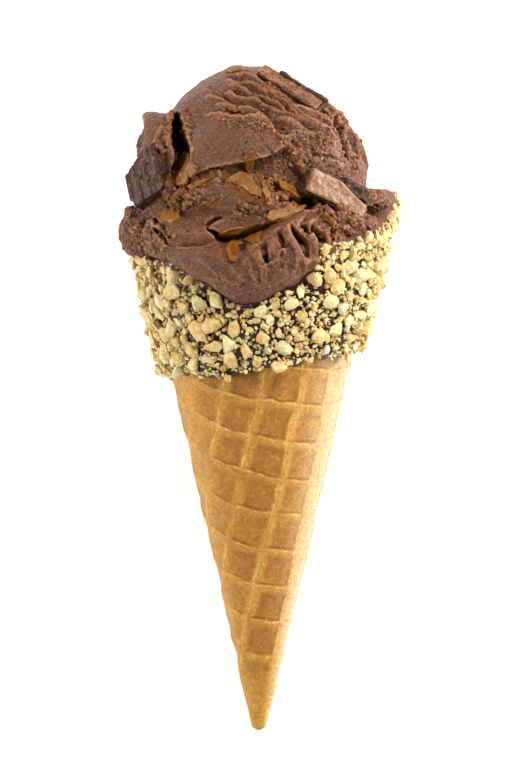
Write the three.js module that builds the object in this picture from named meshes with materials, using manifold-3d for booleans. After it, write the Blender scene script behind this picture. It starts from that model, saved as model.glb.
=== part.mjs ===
// A scoop of chocolate ice cream in a rolled waffle cone, lying on its side. The cone's mouth is
// dipped in chocolate and chopped nuts, and broken pieces of peanut butter cup stick in the scoop.
//
// Every solid is made in the cone's own axes, in millimetres: +Y runs up the cone's axis from the
// point where its slopes would meet, +Z is the side that lies up, and +X is to the right. The last
// section tilts them all, so that the tip and the dipped band rest on the plane z = 0.

import * as THREE from "three";
import { mergeVertices } from "three/addons/utils/BufferGeometryUtils.js";
import Module from "manifold-3d";

const wasm = await Module();
wasm.setup();

// ---------- driving dimensions ----------

const GAP = 0.3; // clearance between neighbouring pieces
const SLIVER = 0.12; // edges shorter than this are closed up after a cut

// Waffle cone
const HALF_ANGLE = THREE.MathUtils.degToRad(12.8);
const TIP_Y = 9.6; // the blunt tip's end
const RIM_Y = 154; // the rim's height in front
const RIM_SLANT = 3; // the rim stands this much higher on the right and lower on the left
const RIM_PEAK = 14; // the sheet's corner stands up on the right by this much
const RIM_PEAK_TURN = THREE.MathUtils.degToRad(105);
const RIM_PEAK_WIDTH = THREE.MathUtils.degToRad(38);
const WALL = 2.4; // sheet thickness over a ridge
const PLY = 1.5; // step of the rolled sheet's free edge, at the back
const PLY_GROWTH = 0.05; // the step grows by this much for each millimetre from the tip
const HOLLOW_START = 34; // below this the rolled tip is solid
const CONE_SIDES = 26;

// Waffle pattern, laid out on the flat sheet before it is rolled
const CELL = 11.2; // pitch of the grid
const CELL_ORIGIN_U = 10.92; // the grid's first line, in pitches from the slopes' meeting point
const CELL_ORIGIN_V = 0.21;
const SHEET_TURN = THREE.MathUtils.degToRad(58.3); // where the sheet's u axis lies round the cone
const RIDGE = 1.9; // width of a ridge's top
const POCKET_DEPTH = 0.95;
const POCKET_SLOPE = 1.3; // how far a pocket's wall runs in from top to floor
const POCKET_STEPS = 2; // facets across a pocket's floor
const CUT_ABOVE = 0.4; // the cutter reaches this far out of the surface
const LOWEST_POCKET = 25; // no pockets on the tightly rolled tip

// Chocolate dip and nuts
const DIP = 2.2; // thickness of the chocolate
const DIP_EDGE_Y = 122; // the dip's lower edge, mean height
const DIP_EDGE_SLANT = 4.6;
const DIP_EDGE_TURN = THREE.MathUtils.degToRad(25);
const NUT_ROWS = 6;
const NUTS_PER_ROW = 23;
const NUT_SIZE = [2.5, 3.7]; // radius of a chopped nut, smallest and largest
const NUT_SINK = 0.1; // share of the radius that is sunk in the chocolate
const NUT_CLEARANCE = 1.2; // a nut this much larger must still miss the ice cream

// Resting pose: the floor passes under these two heights of the axis at these depths
const REST_TIP = [11, 1.7];
const REST_DIP = [150, 35.8];
const REST_CENTRE_Y = 138; // the origin lies on the flat spot below this height
const TILT = Math.atan2(REST_DIP[1] - REST_TIP[1], REST_DIP[0] - REST_TIP[0]);

// Scoop: lobes as [name, centre, radii, turn about +Z in degrees]
const LOBES = [
  ["dome", [0.6, 178.6, 0], [32, 31.8, 32], 0],
  ["dome_face", [-6.5, 183.5, 14], [20, 13.5, 20], 12],
  ["shoulder", [-0.5, 164.5, -1], [35.5, 19, 34], 0],
  ["middle_band", [-4, 170.2, 15], [25, 11.5, 19], -8],
  ["left_upper_lobe", [-25.5, 186, 2], [11, 9.5, 15], 25],
  ["back_lobe", [5, 168, -14], [31, 14, 25], 0],
  ["back_fold", [-9, 184, -12], [21, 14, 19.5], -20],
];

// Lobes that hang over the rim, wrapped round the axis: [name, [turn in degrees, height, distance
// from the axis], [half turn in degrees, half height, half thickness], taper towards the sides]
const WRAPPED_LOBES = [
  ["tongue", [-3, 156, 31], [46, 15.2, 10.6], 0.4],
  ["left_front_lobe", [-50, 158.5, 30], [27, 8.2, 10.2], 0.1],
  ["left_lower_lobe", [-88, 159.8, 29], [24, 9.2, 13.2], 0.1],
  ["right_crumbs", [50, 164, 27], [24, 7.5, 11.5], 0.1],
  ["left_back_lobe", [-132, 160, 28], [30, 8, 12.2], 0.2],
];
const DOME = LOBES[0];
const PRESSED = [ // flat places of the dome: the way each faces, and how far out it lies
  [[0.533, 0.846, 0], 178.9],
  [[0.822, 0.569, 0], 131.8],
];
const LOBE_SIDES = [24, 15]; // round and from pole to pole; smaller lobes take fewer
const SMALL_LOBE = 22; // mean radius below which a lobe takes half the sides
const LUMP = 0.035; // unevenness of a lobe, as a share of its radius

// Upright folds squeezed out beside the tongue: [x, y, z, half width, half height]
const FOLDS = [
  [10.5, 157, 31.5, 3.2, 9],
  [16, 157.5, 28.5, 3.0, 8.5],
  [20.8, 158.6, 24.5, 2.6, 7.6],
  [24.6, 160, 21, 2.3, 6.4],
];
const FOLD_DEPTH = 9;

// Torn upper edges of the layers on the front of the dome: [start, middle, end, height]
const TORN_EDGES = [
  [[-14, 196.5], [0, 193.5], [13, 184.5], 1.5],
  [[-10.5, 200], [4, 196.5], [18.5, 186.5], 1.6],
  [[-5, 203], [8, 199], [23, 187.5], 1.7],
  [[0, 206], [11, 202.5], [19, 195], 1.3],
  [[-11.5, 191.5], [-1, 189.5], [11, 181.5], 1.3],
  [[-17, 176.5], [-5, 178.8], [9, 183.2], 1.8],
  [[12, 179], [19, 181], [27, 178], 1.4],
];
const TORN_STEPS = 7;
const TORN_BACK = 3.4; // how far down the dome a layer rises to its edge
const TORN_HANG = 0.9; // how far the edge hangs over the layer above

// Flakes of peanut butter coating on the scoop: [x, y, length, width, turn in degrees]
const FLAKES = [
  [-23, 174.5, 9, 4, 70],
  [-20.5, 166.5, 6, 3, 25],
  [-15, 169.5, 7, 2.6, 20],
  [-3.5, 173.2, 8.5, 4.2, -25],
  [-2.2, 178, 4.5, 2.4, 80],
  [4.5, 171.6, 6, 2.2, -70],
  [9.8, 172.8, 5.5, 2.2, -35],
  [8.5, 166.6, 8.5, 3.6, 30],
  [-6, 160.6, 8, 2, 12],
  [-3.6, 156.2, 4.6, 3.6, 60],
  [18.5, 163.8, 4.2, 1.8, -40],
  [-4.5, 196.6, 3.2, 2, 10],
  [-17, 160.5, 5, 2.4, -10],
];
const FLAKE_THICKNESS = 1.5;

// Pieces of peanut butter cup: where each stands, and how it is turned in degrees
const LEFT_PIECE = { at: [-31.3, 176.4, 12.5], turn: [-30, -35, 32], size: [13.6, 15, 8.5] };
const TOP_PIECE = { at: [9.2, 201.2, 15.6], turn: [-48, -11, -32], size: [22, 7, 6] };
const RIGHT_PIECE = { at: [21.5, 172.3, 23.3], turn: [-10, 30, -26], size: [22.5, 9, 8] };
const BROKEN_CORNER = [10.2, 5]; // how much of the left piece's top and side is gone
const SHELL = 1.4; // chocolate round the filling
const FLUTES = 7; // pleats on the cup's side
const FLUTE_DEPTH = 0.7;

// ---------- solids and random draws ----------

function randomSource(seed) {
  let state = seed;
  return () => {
    state = (state + 0x6d2b79f5) | 0;
    let mixed = Math.imul(state ^ (state >>> 15), 1 | state);
    mixed = (mixed + Math.imul(mixed ^ (mixed >>> 7), 61 | mixed)) ^ mixed;
    return ((mixed ^ (mixed >>> 14)) >>> 0) / 4294967296;
  };
}

function between(random, low, high) {
  return low + (high - low) * random();
}

// A closed geometry as a solid. Triangles that merging has flattened to a line are left out.
function toSolid(geometry) {
  geometry.deleteAttribute("normal");
  geometry.deleteAttribute("uv");
  const merged = mergeVertices(geometry, 1e-4);
  const index = merged.index.array;
  const kept = [];
  for (let i = 0; i < index.length; i += 3) {
    const [a, b, c] = [index[i], index[i + 1], index[i + 2]];
    if (a !== b && b !== c && c !== a) kept.push(a, b, c);
  }
  return new wasm.Manifold(
    new wasm.Mesh({
      numProp: 3,
      vertProperties: new Float32Array(merged.attributes.position.array),
      triVerts: new Uint32Array(kept),
    }),
  );
}

function toGeometry(solid) {
  const mesh = solid.getMesh();
  const geometry = new THREE.BufferGeometry();
  geometry.setAttribute("position", new THREE.BufferAttribute(mesh.vertProperties, 3));
  geometry.setIndex(new THREE.BufferAttribute(mesh.triVerts, 1));
  geometry.computeVertexNormals();
  return geometry;
}

// A closed surface from columns of points. Neighbouring columns are joined, the last to the first.
// With capped ends the columns are rings, and the first and last ring are closed by fans.
function fromColumns(columns, { closedRound, cappedEnds }) {
  const size = columns[0].length;
  const position = columns.flat(2);
  const index = [];
  const lastColumn = closedRound ? columns.length : columns.length - 1;
  const lastPoint = cappedEnds ? size : size - 1;
  for (let i = 0; i < lastColumn; i++) {
    const next = (i + 1) % columns.length;
    for (let j = 0; j < lastPoint; j++) {
      const a = i * size + j;
      const b = next * size + j;
      const c = next * size + ((j + 1) % size);
      const d = i * size + ((j + 1) % size);
      index.push(a, b, c, a, c, d);
    }
  }
  if (cappedEnds && !closedRound) {
    const start = (columns.length - 1) * size;
    for (let j = 1; j < size - 1; j++) {
      index.push(0, j, j + 1, start, start + j + 1, start + j);
    }
  }
  const surface = (faces) => {
    const geometry = new THREE.BufferGeometry();
    geometry.setAttribute("position", new THREE.Float32BufferAttribute(position, 3));
    geometry.setIndex(faces);
    return toSolid(geometry);
  };
  const solid = surface(index);
  return solid.volume() > 0 ? solid : surface(index.reverse());
}

function joined(solids) {
  return solids.reduce((sum, solid) => sum.add(solid));
}

// The largest closed surface of a solid, without the loose scraps and slivers that cutting leaves,
// and with sealed hollows filled.
function whole(solid) {
  const shells = solid.simplify(SLIVER).decompose();
  return shells.reduce((best, shell) => (shell.volume() > best.volume() ? shell : best));
}

// ---------- the rolled cone ----------

function slantOf(y) {
  return y / Math.cos(HALF_ANGLE);
}

// Outer radius at a height and an angle from the front, which runs from -PI to PI round the roll.
function coneRadius(y, angle) {
  const step = Math.min(PLY, PLY_GROWTH * slantOf(y));
  return slantOf(y) * Math.sin(HALF_ANGLE) + (step * angle) / (2 * Math.PI);
}

function rimHeight(angle) {
  const peak = RIM_PEAK * Math.exp(-(((angle - RIM_PEAK_TURN) / RIM_PEAK_WIDTH) ** 2));
  return RIM_Y + RIM_SLANT * Math.sin(angle) + 0.5 * Math.sin(3 * angle + 1) + peak;
}

function dipEdgeHeight(angle) {
  const wave = 0.6 * Math.sin(5 * angle) + 0.4 * Math.sin(9 * angle + 2);
  return DIP_EDGE_Y + DIP_EDGE_SLANT * Math.sin(angle - DIP_EDGE_TURN) + wave;
}

function onCircle(radius, y, angle) {
  return [radius * Math.sin(angle), y, radius * Math.cos(angle)];
}

// Sweeps profile(angle), a list of [radius, y], once round the axis. The sheet's free edge makes
// the first and last column differ at the back, which leaves the step of the roll there.
function rolled(profile, { ring }) {
  const columns = [];
  for (let i = 0; i <= CONE_SIDES; i++) {
    const angle = -Math.PI + (2 * Math.PI * i) / CONE_SIDES;
    columns.push(profile(angle).map(([radius, y]) => onCircle(radius, y, angle)));
  }
  return fromColumns(columns, { closedRound: true, cappedEnds: ring });
}

function coneProfile(angle) {
  const rim = rimHeight(angle);
  return [
    [0, TIP_Y],
    [1.3, TIP_Y + 0.25],
    [coneRadius(TIP_Y + 1.4, angle), TIP_Y + 1.4],
    [coneRadius(HOLLOW_START, angle), HOLLOW_START],
    [coneRadius(rim - 0.6, angle), rim - 0.6],
    [coneRadius(rim, angle) - 0.6, rim],
    [coneRadius(rim, 0) - WALL, rim],
    [coneRadius(HOLLOW_START, 0) - WALL - PLY / 2, HOLLOW_START + 4],
    [0, HOLLOW_START + 2],
  ];
}

// A point of the flat sheet, rolled onto the cone and moved out by lift.
function onSheet(u, v, lift) {
  const slant = Math.hypot(u, v);
  const angle = SHEET_TURN - Math.atan2(v, u) / Math.sin(HALF_ANGLE);
  const y = slant * Math.cos(HALF_ANGLE);
  return { y, angle, point: onCircle(coneRadius(y, angle) + lift, y, angle) };
}

// The tapered block that cuts the pocket between two grid lines each way.
function pocketCutter(u0, v0) {
  const outset = (POCKET_SLOPE * CUT_ABOVE) / POCKET_DEPTH;
  const layers = [
    { inset: RIDGE / 2 - outset, lift: CUT_ABOVE },
    { inset: RIDGE / 2 + POCKET_SLOPE, lift: -POCKET_DEPTH },
  ];
  const columns = [];
  for (let j = 0; j <= POCKET_STEPS; j++) {
    const ring = [];
    for (const [{ inset, lift }, ends] of [[layers[0], [0, 1]], [layers[1], [1, 0]]]) {
      const span = CELL - 2 * inset;
      const v = v0 + inset + (span * j) / POCKET_STEPS;
      ring.push(...ends.map((end) => onSheet(u0 + inset + span * end, v, lift).point));
    }
    columns.push(ring);
  }
  return fromColumns(columns, { closedRound: false, cappedEnds: true });
}

// One cutter for every whole cell that shows between the tip and the dip.
function pocketCutters() {
  const cutters = [];
  const reach = Math.ceil(CELL_ORIGIN_U);
  for (let row = 0; row < reach + 1; row++) {
    for (let column = -reach; column <= reach + 1; column++) {
      const u = (CELL_ORIGIN_U - row) * CELL;
      const v = (column + CELL_ORIGIN_V) * CELL;
      const corners = [[0, 0], [1, 0], [0, 1], [1, 1]].map(([i, j]) =>
        onSheet(u + i * CELL, v + j * CELL, 0),
      );
      const middle = onSheet(u + CELL / 2, v + CELL / 2, 0);
      // A cell may run off the sheet's free edge, but not under it.
      const inRoll = middle.angle < Math.PI && corners.every(({ angle }) => angle > 0.03 - Math.PI);
      const aboveTip = corners.every(({ y }) => y > LOWEST_POCKET);
      const shows = middle.y < dipEdgeHeight(middle.angle) + 1;
      if (u > 0 && inRoll && aboveTip && shows) cutters.push(pocketCutter(u, v));
    }
  }
  return cutters;
}

function waffleCone() {
  const shell = rolled(coneProfile, { ring: false });
  return shell.subtract(joined(pocketCutters()));
}

// ---------- chocolate dip and chopped nuts ----------

// The dip's outer surface, from its lower edge to the inside of the rim, moved out by grow.
function dipOutside(angle, grow) {
  const edge = dipEdgeHeight(angle) - grow;
  const rim = rimHeight(angle);
  const out = (y, thickness) => [coneRadius(y, angle) + thickness + grow, y];
  return [
    out(edge + 0.1, 0.9),
    out(edge + 1.6, DIP - 0.2),
    out((edge + rim) / 2, DIP + 0.2 * Math.sin(4 * angle)),
    out(rim - 1, DIP),
    [coneRadius(rim, angle) + DIP - 0.9 + grow, rim + 1.6 + grow],
    [coneRadius(rim, 0) - WALL - GAP - grow, rim + 1.4 + grow],
  ];
}

function dipProfile(angle) {
  const edge = dipEdgeHeight(angle);
  const rim = rimHeight(angle);
  return [
    [coneRadius(edge, angle) + GAP, edge],
    ...dipOutside(angle, 0),
    [coneRadius(rim, 0) - WALL - GAP, rim + GAP],
    [coneRadius(rim, angle) + GAP, rim + GAP],
  ];
}

// The room that the cone's wall and the dip take in the scoop. It reaches a little further in
// than the wall, where the filling of the hollow closes it again.
function dipRoom(angle) {
  const edge = dipEdgeHeight(angle) - GAP;
  const further = WALL + 2 * GAP + 1;
  return [
    [coneRadius(edge, angle) - further, edge],
    ...dipOutside(angle, GAP),
    [coneRadius(rimHeight(angle), 0) - further, rimHeight(angle) + 1],
  ];
}

// A chopped nut is a block with its corners knocked in by uneven amounts.
function nutShape(random, radius) {
  const side = 1.25 * radius;
  const geometry = new THREE.BoxGeometry(side, side, side);
  geometry.deleteAttribute("normal");
  geometry.deleteAttribute("uv");
  const nut = mergeVertices(geometry, 1e-4);
  const position = nut.attributes.position;
  const point = new THREE.Vector3();
  for (let i = 0; i < position.count; i++) {
    point.fromBufferAttribute(position, i).multiplyScalar(between(random, 0.7, 1.15));
    position.setXYZ(i, ...point.toArray());
  }
  nut.scale(between(random, 0.9, 1.25), between(random, 0.8, 1.1), between(random, 0.7, 0.9));
  nut.rotateX(between(random, -0.5, 0.5));
  nut.rotateZ(between(random, 0, 2 * Math.PI));
  return nut;
}

// Nuts in staggered rows round the dip, each shaken off its row, and none under the ice cream.
function chocolateWithNuts(scoopAndPieces) {
  const random = randomSource(11);
  const nuts = [];
  for (let row = 0; row < NUT_ROWS; row++) {
    for (let i = 0; i < NUTS_PER_ROW; i++) {
      const turn = (i + (row % 2) / 2 + between(random, -0.25, 0.25)) / NUTS_PER_ROW;
      const angle = 2 * Math.PI * turn - Math.PI;
      const low = dipEdgeHeight(angle) + 2.6;
      const high = rimHeight(angle) - 2 - 3 * Math.max(0, Math.sin(angle));
      const share = (row + between(random, -0.2, 0.2)) / (NUT_ROWS - 1);
      const y = low + (high - low) * THREE.MathUtils.clamp(share, 0, 1);
      const radius = between(random, ...NUT_SIZE);
      const nut = nutShape(random, radius);
      const place = new THREE.Object3D();
      const out = coneRadius(y, angle) + DIP - NUT_SINK * radius;
      place.position.set(...onCircle(out, y, angle));
      place.rotation.set(-HALF_ANGLE, angle, 0, "YXZ");
      place.updateMatrix();
      const larger = nut.clone().scale(NUT_CLEARANCE, NUT_CLEARANCE, NUT_CLEARANCE);
      const reach = toSolid(larger.applyMatrix4(place.matrix));
      const clear = reach.intersect(scoopAndPieces).isEmpty();
      if (clear) nuts.push(toSolid(nut.applyMatrix4(place.matrix)));
    }
  }
  const dip = rolled(dipProfile, { ring: true });
  return joined(nuts).subtract(coneCore()).add(dip);
}

// The inside of the dip, which no nut reaches into.
function coneCore() {
  const room = 2 * GAP;
  return rolled(
    (angle) => {
      const rim = rimHeight(angle);
      return [
        [0, LOWEST_POCKET],
        [coneRadius(LOWEST_POCKET, angle) + room, LOWEST_POCKET],
        [coneRadius(rim, angle) + room, rim + room],
        [0, RIM_Y],
      ];
    },
    { ring: false },
  );
}

// ---------- pieces of peanut butter cup ----------

function placeOf({ at, turn }) {
  const place = new THREE.Object3D();
  place.position.set(...at);
  place.rotation.set(...turn.map(THREE.MathUtils.degToRad), "ZYX");
  place.updateMatrix();
  return place.matrix;
}

function placed(geometry, piece) {
  return geometry.applyMatrix4(placeOf(piece));
}

// The part of a solid below a plane that faces a given way.
function below(solid, [facing, reach]) {
  return solid.trimByPlane(facing.map((value) => -value), -reach);
}

// A block between two corners.
function block(low, high) {
  const size = low.map((value, i) => high[i] - value);
  const middle = low.map((value, i) => (high[i] + value) / 2);
  return new THREE.BoxGeometry(...size).translate(...middle);
}

// A piece of the cup's side: a slab whose front is pleated, extruded along the pleats.
function flutedBlock([width, height, depth]) {
  const outline = new THREE.Shape();
  outline.moveTo(-width / 2, depth / 2);
  for (let i = 0; i < FLUTES; i++) {
    const start = -width / 2 + (width * i) / FLUTES;
    const pleat = width / FLUTES;
    outline.lineTo(start + pleat * 0.25, depth / 2 + FLUTE_DEPTH);
    outline.lineTo(start + pleat * 0.75, depth / 2 + FLUTE_DEPTH);
    outline.lineTo(start + pleat, depth / 2);
  }
  outline.lineTo(width / 2 - 1.2, -depth / 2);
  outline.lineTo(-width / 2 + 2.2, 0.8 - depth / 2);
  const geometry = new THREE.ExtrudeGeometry(outline, { depth: height, bevelEnabled: false });
  return geometry.translate(0, 0, -height / 2).rotateX(Math.PI / 2);
}

// The left piece: a fluted block whose upper left corner broke off.
function cornerlessBlock(piece) {
  const [width, height] = piece.size;
  const [across, down] = BROKEN_CORNER;
  const length = Math.hypot(across, down);
  const facing = [-down / length, across / length, 0];
  const reach = (facing[0] * -width) / 2 + facing[1] * (height / 2 - down);
  return below(toSolid(flutedBlock(piece.size)), [facing, reach]).transform(placeOf(piece).elements);
}

// A broken piece: its filling is bare in front and at the broken left end, and chocolate covers
// the rest.
function filledPiece(piece) {
  const [x, y, z] = piece.size.map((side) => side / 2);
  const outer = toSolid(placed(block([-x, -y, -z], [x, y, z]), piece));
  const low = [-x - SHELL, SHELL - y, SHELL - z];
  const hollow = toSolid(placed(block(low, [x - SHELL, y - SHELL, z + SHELL]), piece));
  const inset = SHELL + GAP;
  const filling = block([-x, inset - y, inset - z], [x - inset, y - inset, z]);
  return {
    shell: outer.subtract(hollow),
    filling: toSolid(placed(filling, piece)),
    socket: socketFor(piece, GAP),
  };
}

// The room that a piece takes in the scoop.
function socketFor(piece, grow) {
  const half = piece.size.map((side) => side / 2 + grow);
  const low = half.map((value) => -value);
  return toSolid(placed(block(low, half), piece));
}

// ---------- ice cream ----------

// A ball of radius 1 with low waves over it.
function lumpyBall(share, random) {
  const geometry = new THREE.SphereGeometry(1, ...LOBE_SIDES.map((n) => Math.round(n * share)));
  geometry.deleteAttribute("normal");
  geometry.deleteAttribute("uv");
  const lobe = mergeVertices(geometry, 1e-4);
  const phase = [between(random, 0, 6), between(random, 0, 6), between(random, 0, 6)];
  const position = lobe.attributes.position;
  const point = new THREE.Vector3();
  for (let i = 0; i < position.count; i++) {
    point.fromBufferAttribute(position, i);
    const wave = Math.sin(5 * point.x + phase[0]) + Math.sin(6 * point.y + phase[1]);
    point.multiplyScalar(1 + (LUMP / 2) * (wave + Math.sin(5 * point.z + phase[2])));
    position.setXYZ(i, ...point.toArray());
  }
  return lobe;
}

function lobeSolid([, centre, radii, turn], random) {
  const mean = (radii[0] + radii[1] + radii[2]) / 3;
  const lobe = lumpyBall(mean < SMALL_LOBE ? 0.6 : 1, random);
  lobe.scale(...radii);
  lobe.rotateZ(THREE.MathUtils.degToRad(turn));
  return toSolid(lobe.translate(...centre));
}

function wrappedLobeSolid([, centre, half, taper], random) {
  const lobe = lumpyBall(0.75, random);
  const position = lobe.attributes.position;
  for (let i = 0; i < position.count; i++) {
    const [x, y, z] = [position.getX(i), position.getY(i), position.getZ(i)];
    const angle = THREE.MathUtils.degToRad(centre[0] + half[0] * x);
    const height = centre[1] + half[1] * y * (1 - taper * Math.abs(x));
    position.setXYZ(i, ...onCircle(centre[2] + half[2] * z, height, angle));
  }
  return toSolid(lobe);
}

function foldSolid([x, y, z, halfWidth, halfHeight]) {
  const geometry = new THREE.SphereGeometry(1, 8, 8);
  geometry.scale(halfWidth, halfHeight, FOLD_DEPTH);
  geometry.rotateY(Math.atan2(x, z));
  return toSolid(geometry.translate(x, y, z));
}

// Height of the dome's front above the axis plane.
function domeFront(x, y) {
  const [, centre, radii] = DOME;
  const across = ((x - centre[0]) / radii[0]) ** 2 + ((y - centre[1]) / radii[1]) ** 2;
  return centre[2] + radii[2] * Math.sqrt(Math.max(0.02, 1 - across));
}

// A wedge along the torn edge of a layer: it starts in the dome's surface, rises to a ragged edge
// that hangs over the layer above, and turns back under it.
function tornEdge([start, middle, end, height], random) {
  const control = new THREE.Vector2(...middle).multiplyScalar(2);
  control.sub(new THREE.Vector2(...start).add(new THREE.Vector2(...end)).multiplyScalar(0.5));
  const ends = [new THREE.Vector2(...start), new THREE.Vector2(...end)];
  const path = new THREE.QuadraticBezierCurve(ends[0], control, ends[1]);
  const centre = new THREE.Vector3(...DOME[1]);
  const columns = [];
  for (let i = 0; i <= TORN_STEPS; i++) {
    const t = i / TORN_STEPS;
    const at = path.getPoint(t);
    const along = path.getTangent(t);
    const up = new THREE.Vector2(-along.y, along.x);
    if (up.y < 0) up.negate();
    const taper = 0.35 + 0.65 * Math.sin(Math.PI * t);
    const rise = height * taper * between(random, 0.7, 1.2);
    const hang = TORN_HANG * between(random, 0.2, 1.6);
    const section = [
      [-TORN_BACK * taper, -0.6],
      [hang, rise],
      [hang * 0.3, -1.2],
    ];
    columns.push(
      section.map(([ahead, lift]) => {
        const x = at.x + up.x * ahead;
        const y = at.y + up.y * ahead;
        const point = new THREE.Vector3(x, y, domeFront(x, y));
        const out = point.clone().sub(centre).normalize();
        return point.addScaledVector(out, lift).toArray();
      }),
    );
  }
  return fromColumns(columns, { closedRound: false, cappedEnds: true });
}

// A flake lies on whatever of the scoop is foremost at its place.
function flakeSolid([x, y, length, width, turn], front, random) {
  const corners = [];
  const count = 6;
  for (let i = 0; i < count; i++) {
    const angle = (2 * Math.PI * i) / count;
    const jitter = between(random, 0.75, 1.15);
    corners.push(
      new THREE.Vector2((length / 2) * Math.cos(angle), (width / 2) * Math.sin(angle)).multiplyScalar(
        jitter,
      ),
    );
  }
  const depth = FLAKE_THICKNESS + 1;
  const geometry = new THREE.ExtrudeGeometry(new THREE.Shape(corners), { depth, bevelEnabled: false });
  geometry.rotateZ(THREE.MathUtils.degToRad(turn));
  geometry.rotateX(THREE.MathUtils.degToRad(between(random, -14, 14)));
  return toSolid(geometry.translate(x, y, front(x, y) - depth + FLAKE_THICKNESS * 0.6));
}

// The foremost height of all lobes at a place, for laying flakes on them.
function scoopFront(x, y) {
  let front = 0;
  for (const [, centre, radii, turn] of LOBES) {
    const angle = THREE.MathUtils.degToRad(-turn);
    const dx = x - centre[0];
    const dy = y - centre[1];
    const along = dx * Math.cos(angle) - dy * Math.sin(angle);
    const across = dx * Math.sin(angle) + dy * Math.cos(angle);
    const inside = 1 - (along / radii[0]) ** 2 - (across / radii[1]) ** 2;
    if (inside > 0) front = Math.max(front, centre[2] + radii[2] * Math.sqrt(inside));
  }
  for (const [, centre, half, taper] of WRAPPED_LOBES) {
    const reach = centre[2] + half[2];
    const angle = THREE.MathUtils.radToDeg(Math.asin(THREE.MathUtils.clamp(x / reach, -1, 1)));
    const across = (angle - centre[0]) / half[0];
    const up = (y - centre[1]) / (half[1] * (1 - taper * Math.abs(across)));
    const inside = 1 - across ** 2 - up ** 2;
    const distance = centre[2] + half[2] * Math.sqrt(Math.max(0, inside));
    if (inside > 0 && distance > Math.abs(x)) front = Math.max(front, Math.sqrt(distance ** 2 - x ** 2));
  }
  return front;
}

// What fills the cone below the rim.
function filledHollow() {
  const top = RIM_Y + RIM_SLANT;
  const base = HOLLOW_START + 8;
  return rolled(
    () => [
      [0, base],
      [coneRadius(base, 0) - WALL - PLY - 2 * GAP, base],
      [coneRadius(top, 0) - WALL - 2 * GAP, top],
      [0, top],
    ],
    { ring: false },
  );
}

function scoop(sockets) {
  const random = randomSource(5);
  const lobes = LOBES.map((lobe) => lobeSolid(lobe, random));
  lobes[0] = PRESSED.reduce(below, lobes[0]);
  lobes.push(...WRAPPED_LOBES.map((lobe) => wrappedLobeSolid(lobe, random)));
  const folds = FOLDS.map(foldSolid);
  const edges = TORN_EDGES.map((edge) => tornEdge(edge, random));
  const flakes = FLAKES.map((flake) => flakeSolid(flake, scoopFront, random));
  const room = rolled(dipRoom, { ring: true });
  const mass = joined([...lobes, ...folds, ...edges, ...flakes]).subtract(room);
  return whole(mass.add(filledHollow()).subtract(joined(sockets)));
}

// ---------- the whole, laid down ----------

function floorCutter() {
  const size = 400;
  const geometry = new THREE.BoxGeometry(size, size, size);
  geometry.rotateX(-TILT);
  const below = new THREE.Vector3(0, Math.sin(TILT), Math.cos(TILT)).multiplyScalar(-size / 2);
  const touch = new THREE.Vector3(0, REST_DIP[0], -REST_DIP[1]);
  return toSolid(geometry.translate(...touch.add(below).toArray()));
}

const MATERIALS = {
  waffle: { color: 0xd1a058, roughness: 0.75, metalness: 0 },
  nutCoat: { color: 0xc9b27a, roughness: 0.7, metalness: 0 },
  iceCream: { color: 0x7e5642, roughness: 0.45, metalness: 0 },
  cupChocolate: { color: 0x4a352a, roughness: 0.4, metalness: 0 },
  cupFilling: { color: 0xb07c50, roughness: 0.5, metalness: 0 },
};

function addPiece(group, name, solid, material) {
  const mesh = new THREE.Mesh(toGeometry(solid), new THREE.MeshStandardMaterial(material));
  mesh.name = name;
  group.add(mesh);
}

const topPiece = filledPiece(TOP_PIECE);
const rightPiece = filledPiece(RIGHT_PIECE);
const leftPiece = cornerlessBlock(LEFT_PIECE);
const leftSocket = socketFor(LEFT_PIECE, GAP + FLUTE_DEPTH);
const iceCream = scoop([leftSocket, topPiece.socket, rightPiece.socket]);
const nutCoat = chocolateWithNuts(joined([iceCream, leftPiece, topPiece.shell, rightPiece.shell]));
const floor = floorCutter();

const laid = new THREE.Group();
addPiece(laid, "waffle_cone", whole(waffleCone().subtract(floor)), MATERIALS.waffle);
addPiece(laid, "nut_coat", whole(nutCoat.subtract(floor)), MATERIALS.nutCoat);
addPiece(laid, "ice_cream", whole(iceCream.subtract(floor)), MATERIALS.iceCream);
addPiece(laid, "left_cup_piece", leftPiece, MATERIALS.cupChocolate);
addPiece(laid, "top_cup_shell", topPiece.shell, MATERIALS.cupChocolate);
addPiece(laid, "top_cup_filling", topPiece.filling, MATERIALS.cupFilling);
addPiece(laid, "right_cup_shell", rightPiece.shell, MATERIALS.cupChocolate);
addPiece(laid, "right_cup_filling", rightPiece.filling, MATERIALS.cupFilling);
laid.rotation.x = TILT;

// The origin lies on the flat spot, straight below the axis as it lies.
const restDepth = REST_TIP[1] + (REST_CENTRE_Y - REST_TIP[0]) * Math.tan(TILT);
const restPoint = new THREE.Vector3(0, REST_CENTRE_Y, -restDepth).applyEuler(laid.rotation);
laid.position.copy(restPoint).negate();

const iceCreamCone = new THREE.Group();
iceCreamCone.add(laid);

export default iceCreamCone;
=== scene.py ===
# %% [markdown]
# # A chocolate ice cream cone, lying on its side
# The real thing is a waffle cone whose mouth was dipped in chocolate and chopped peanuts, with a
# scoop of chocolate ice cream pressed onto it and pieces of peanut butter cup in the scoop. The
# frame below holds the solids of each part at their true size. Every piece made here takes the
# place of one of them, with the surface that the eye expects: torn and smeared ice cream, rough
# nuts, a baked grid.

# %% Load the frame
import itertools
import math
import random

import bpy
import numpy as np
from mathutils import Matrix, Vector
from mathutils.bvhtree import BVHTree


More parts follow.
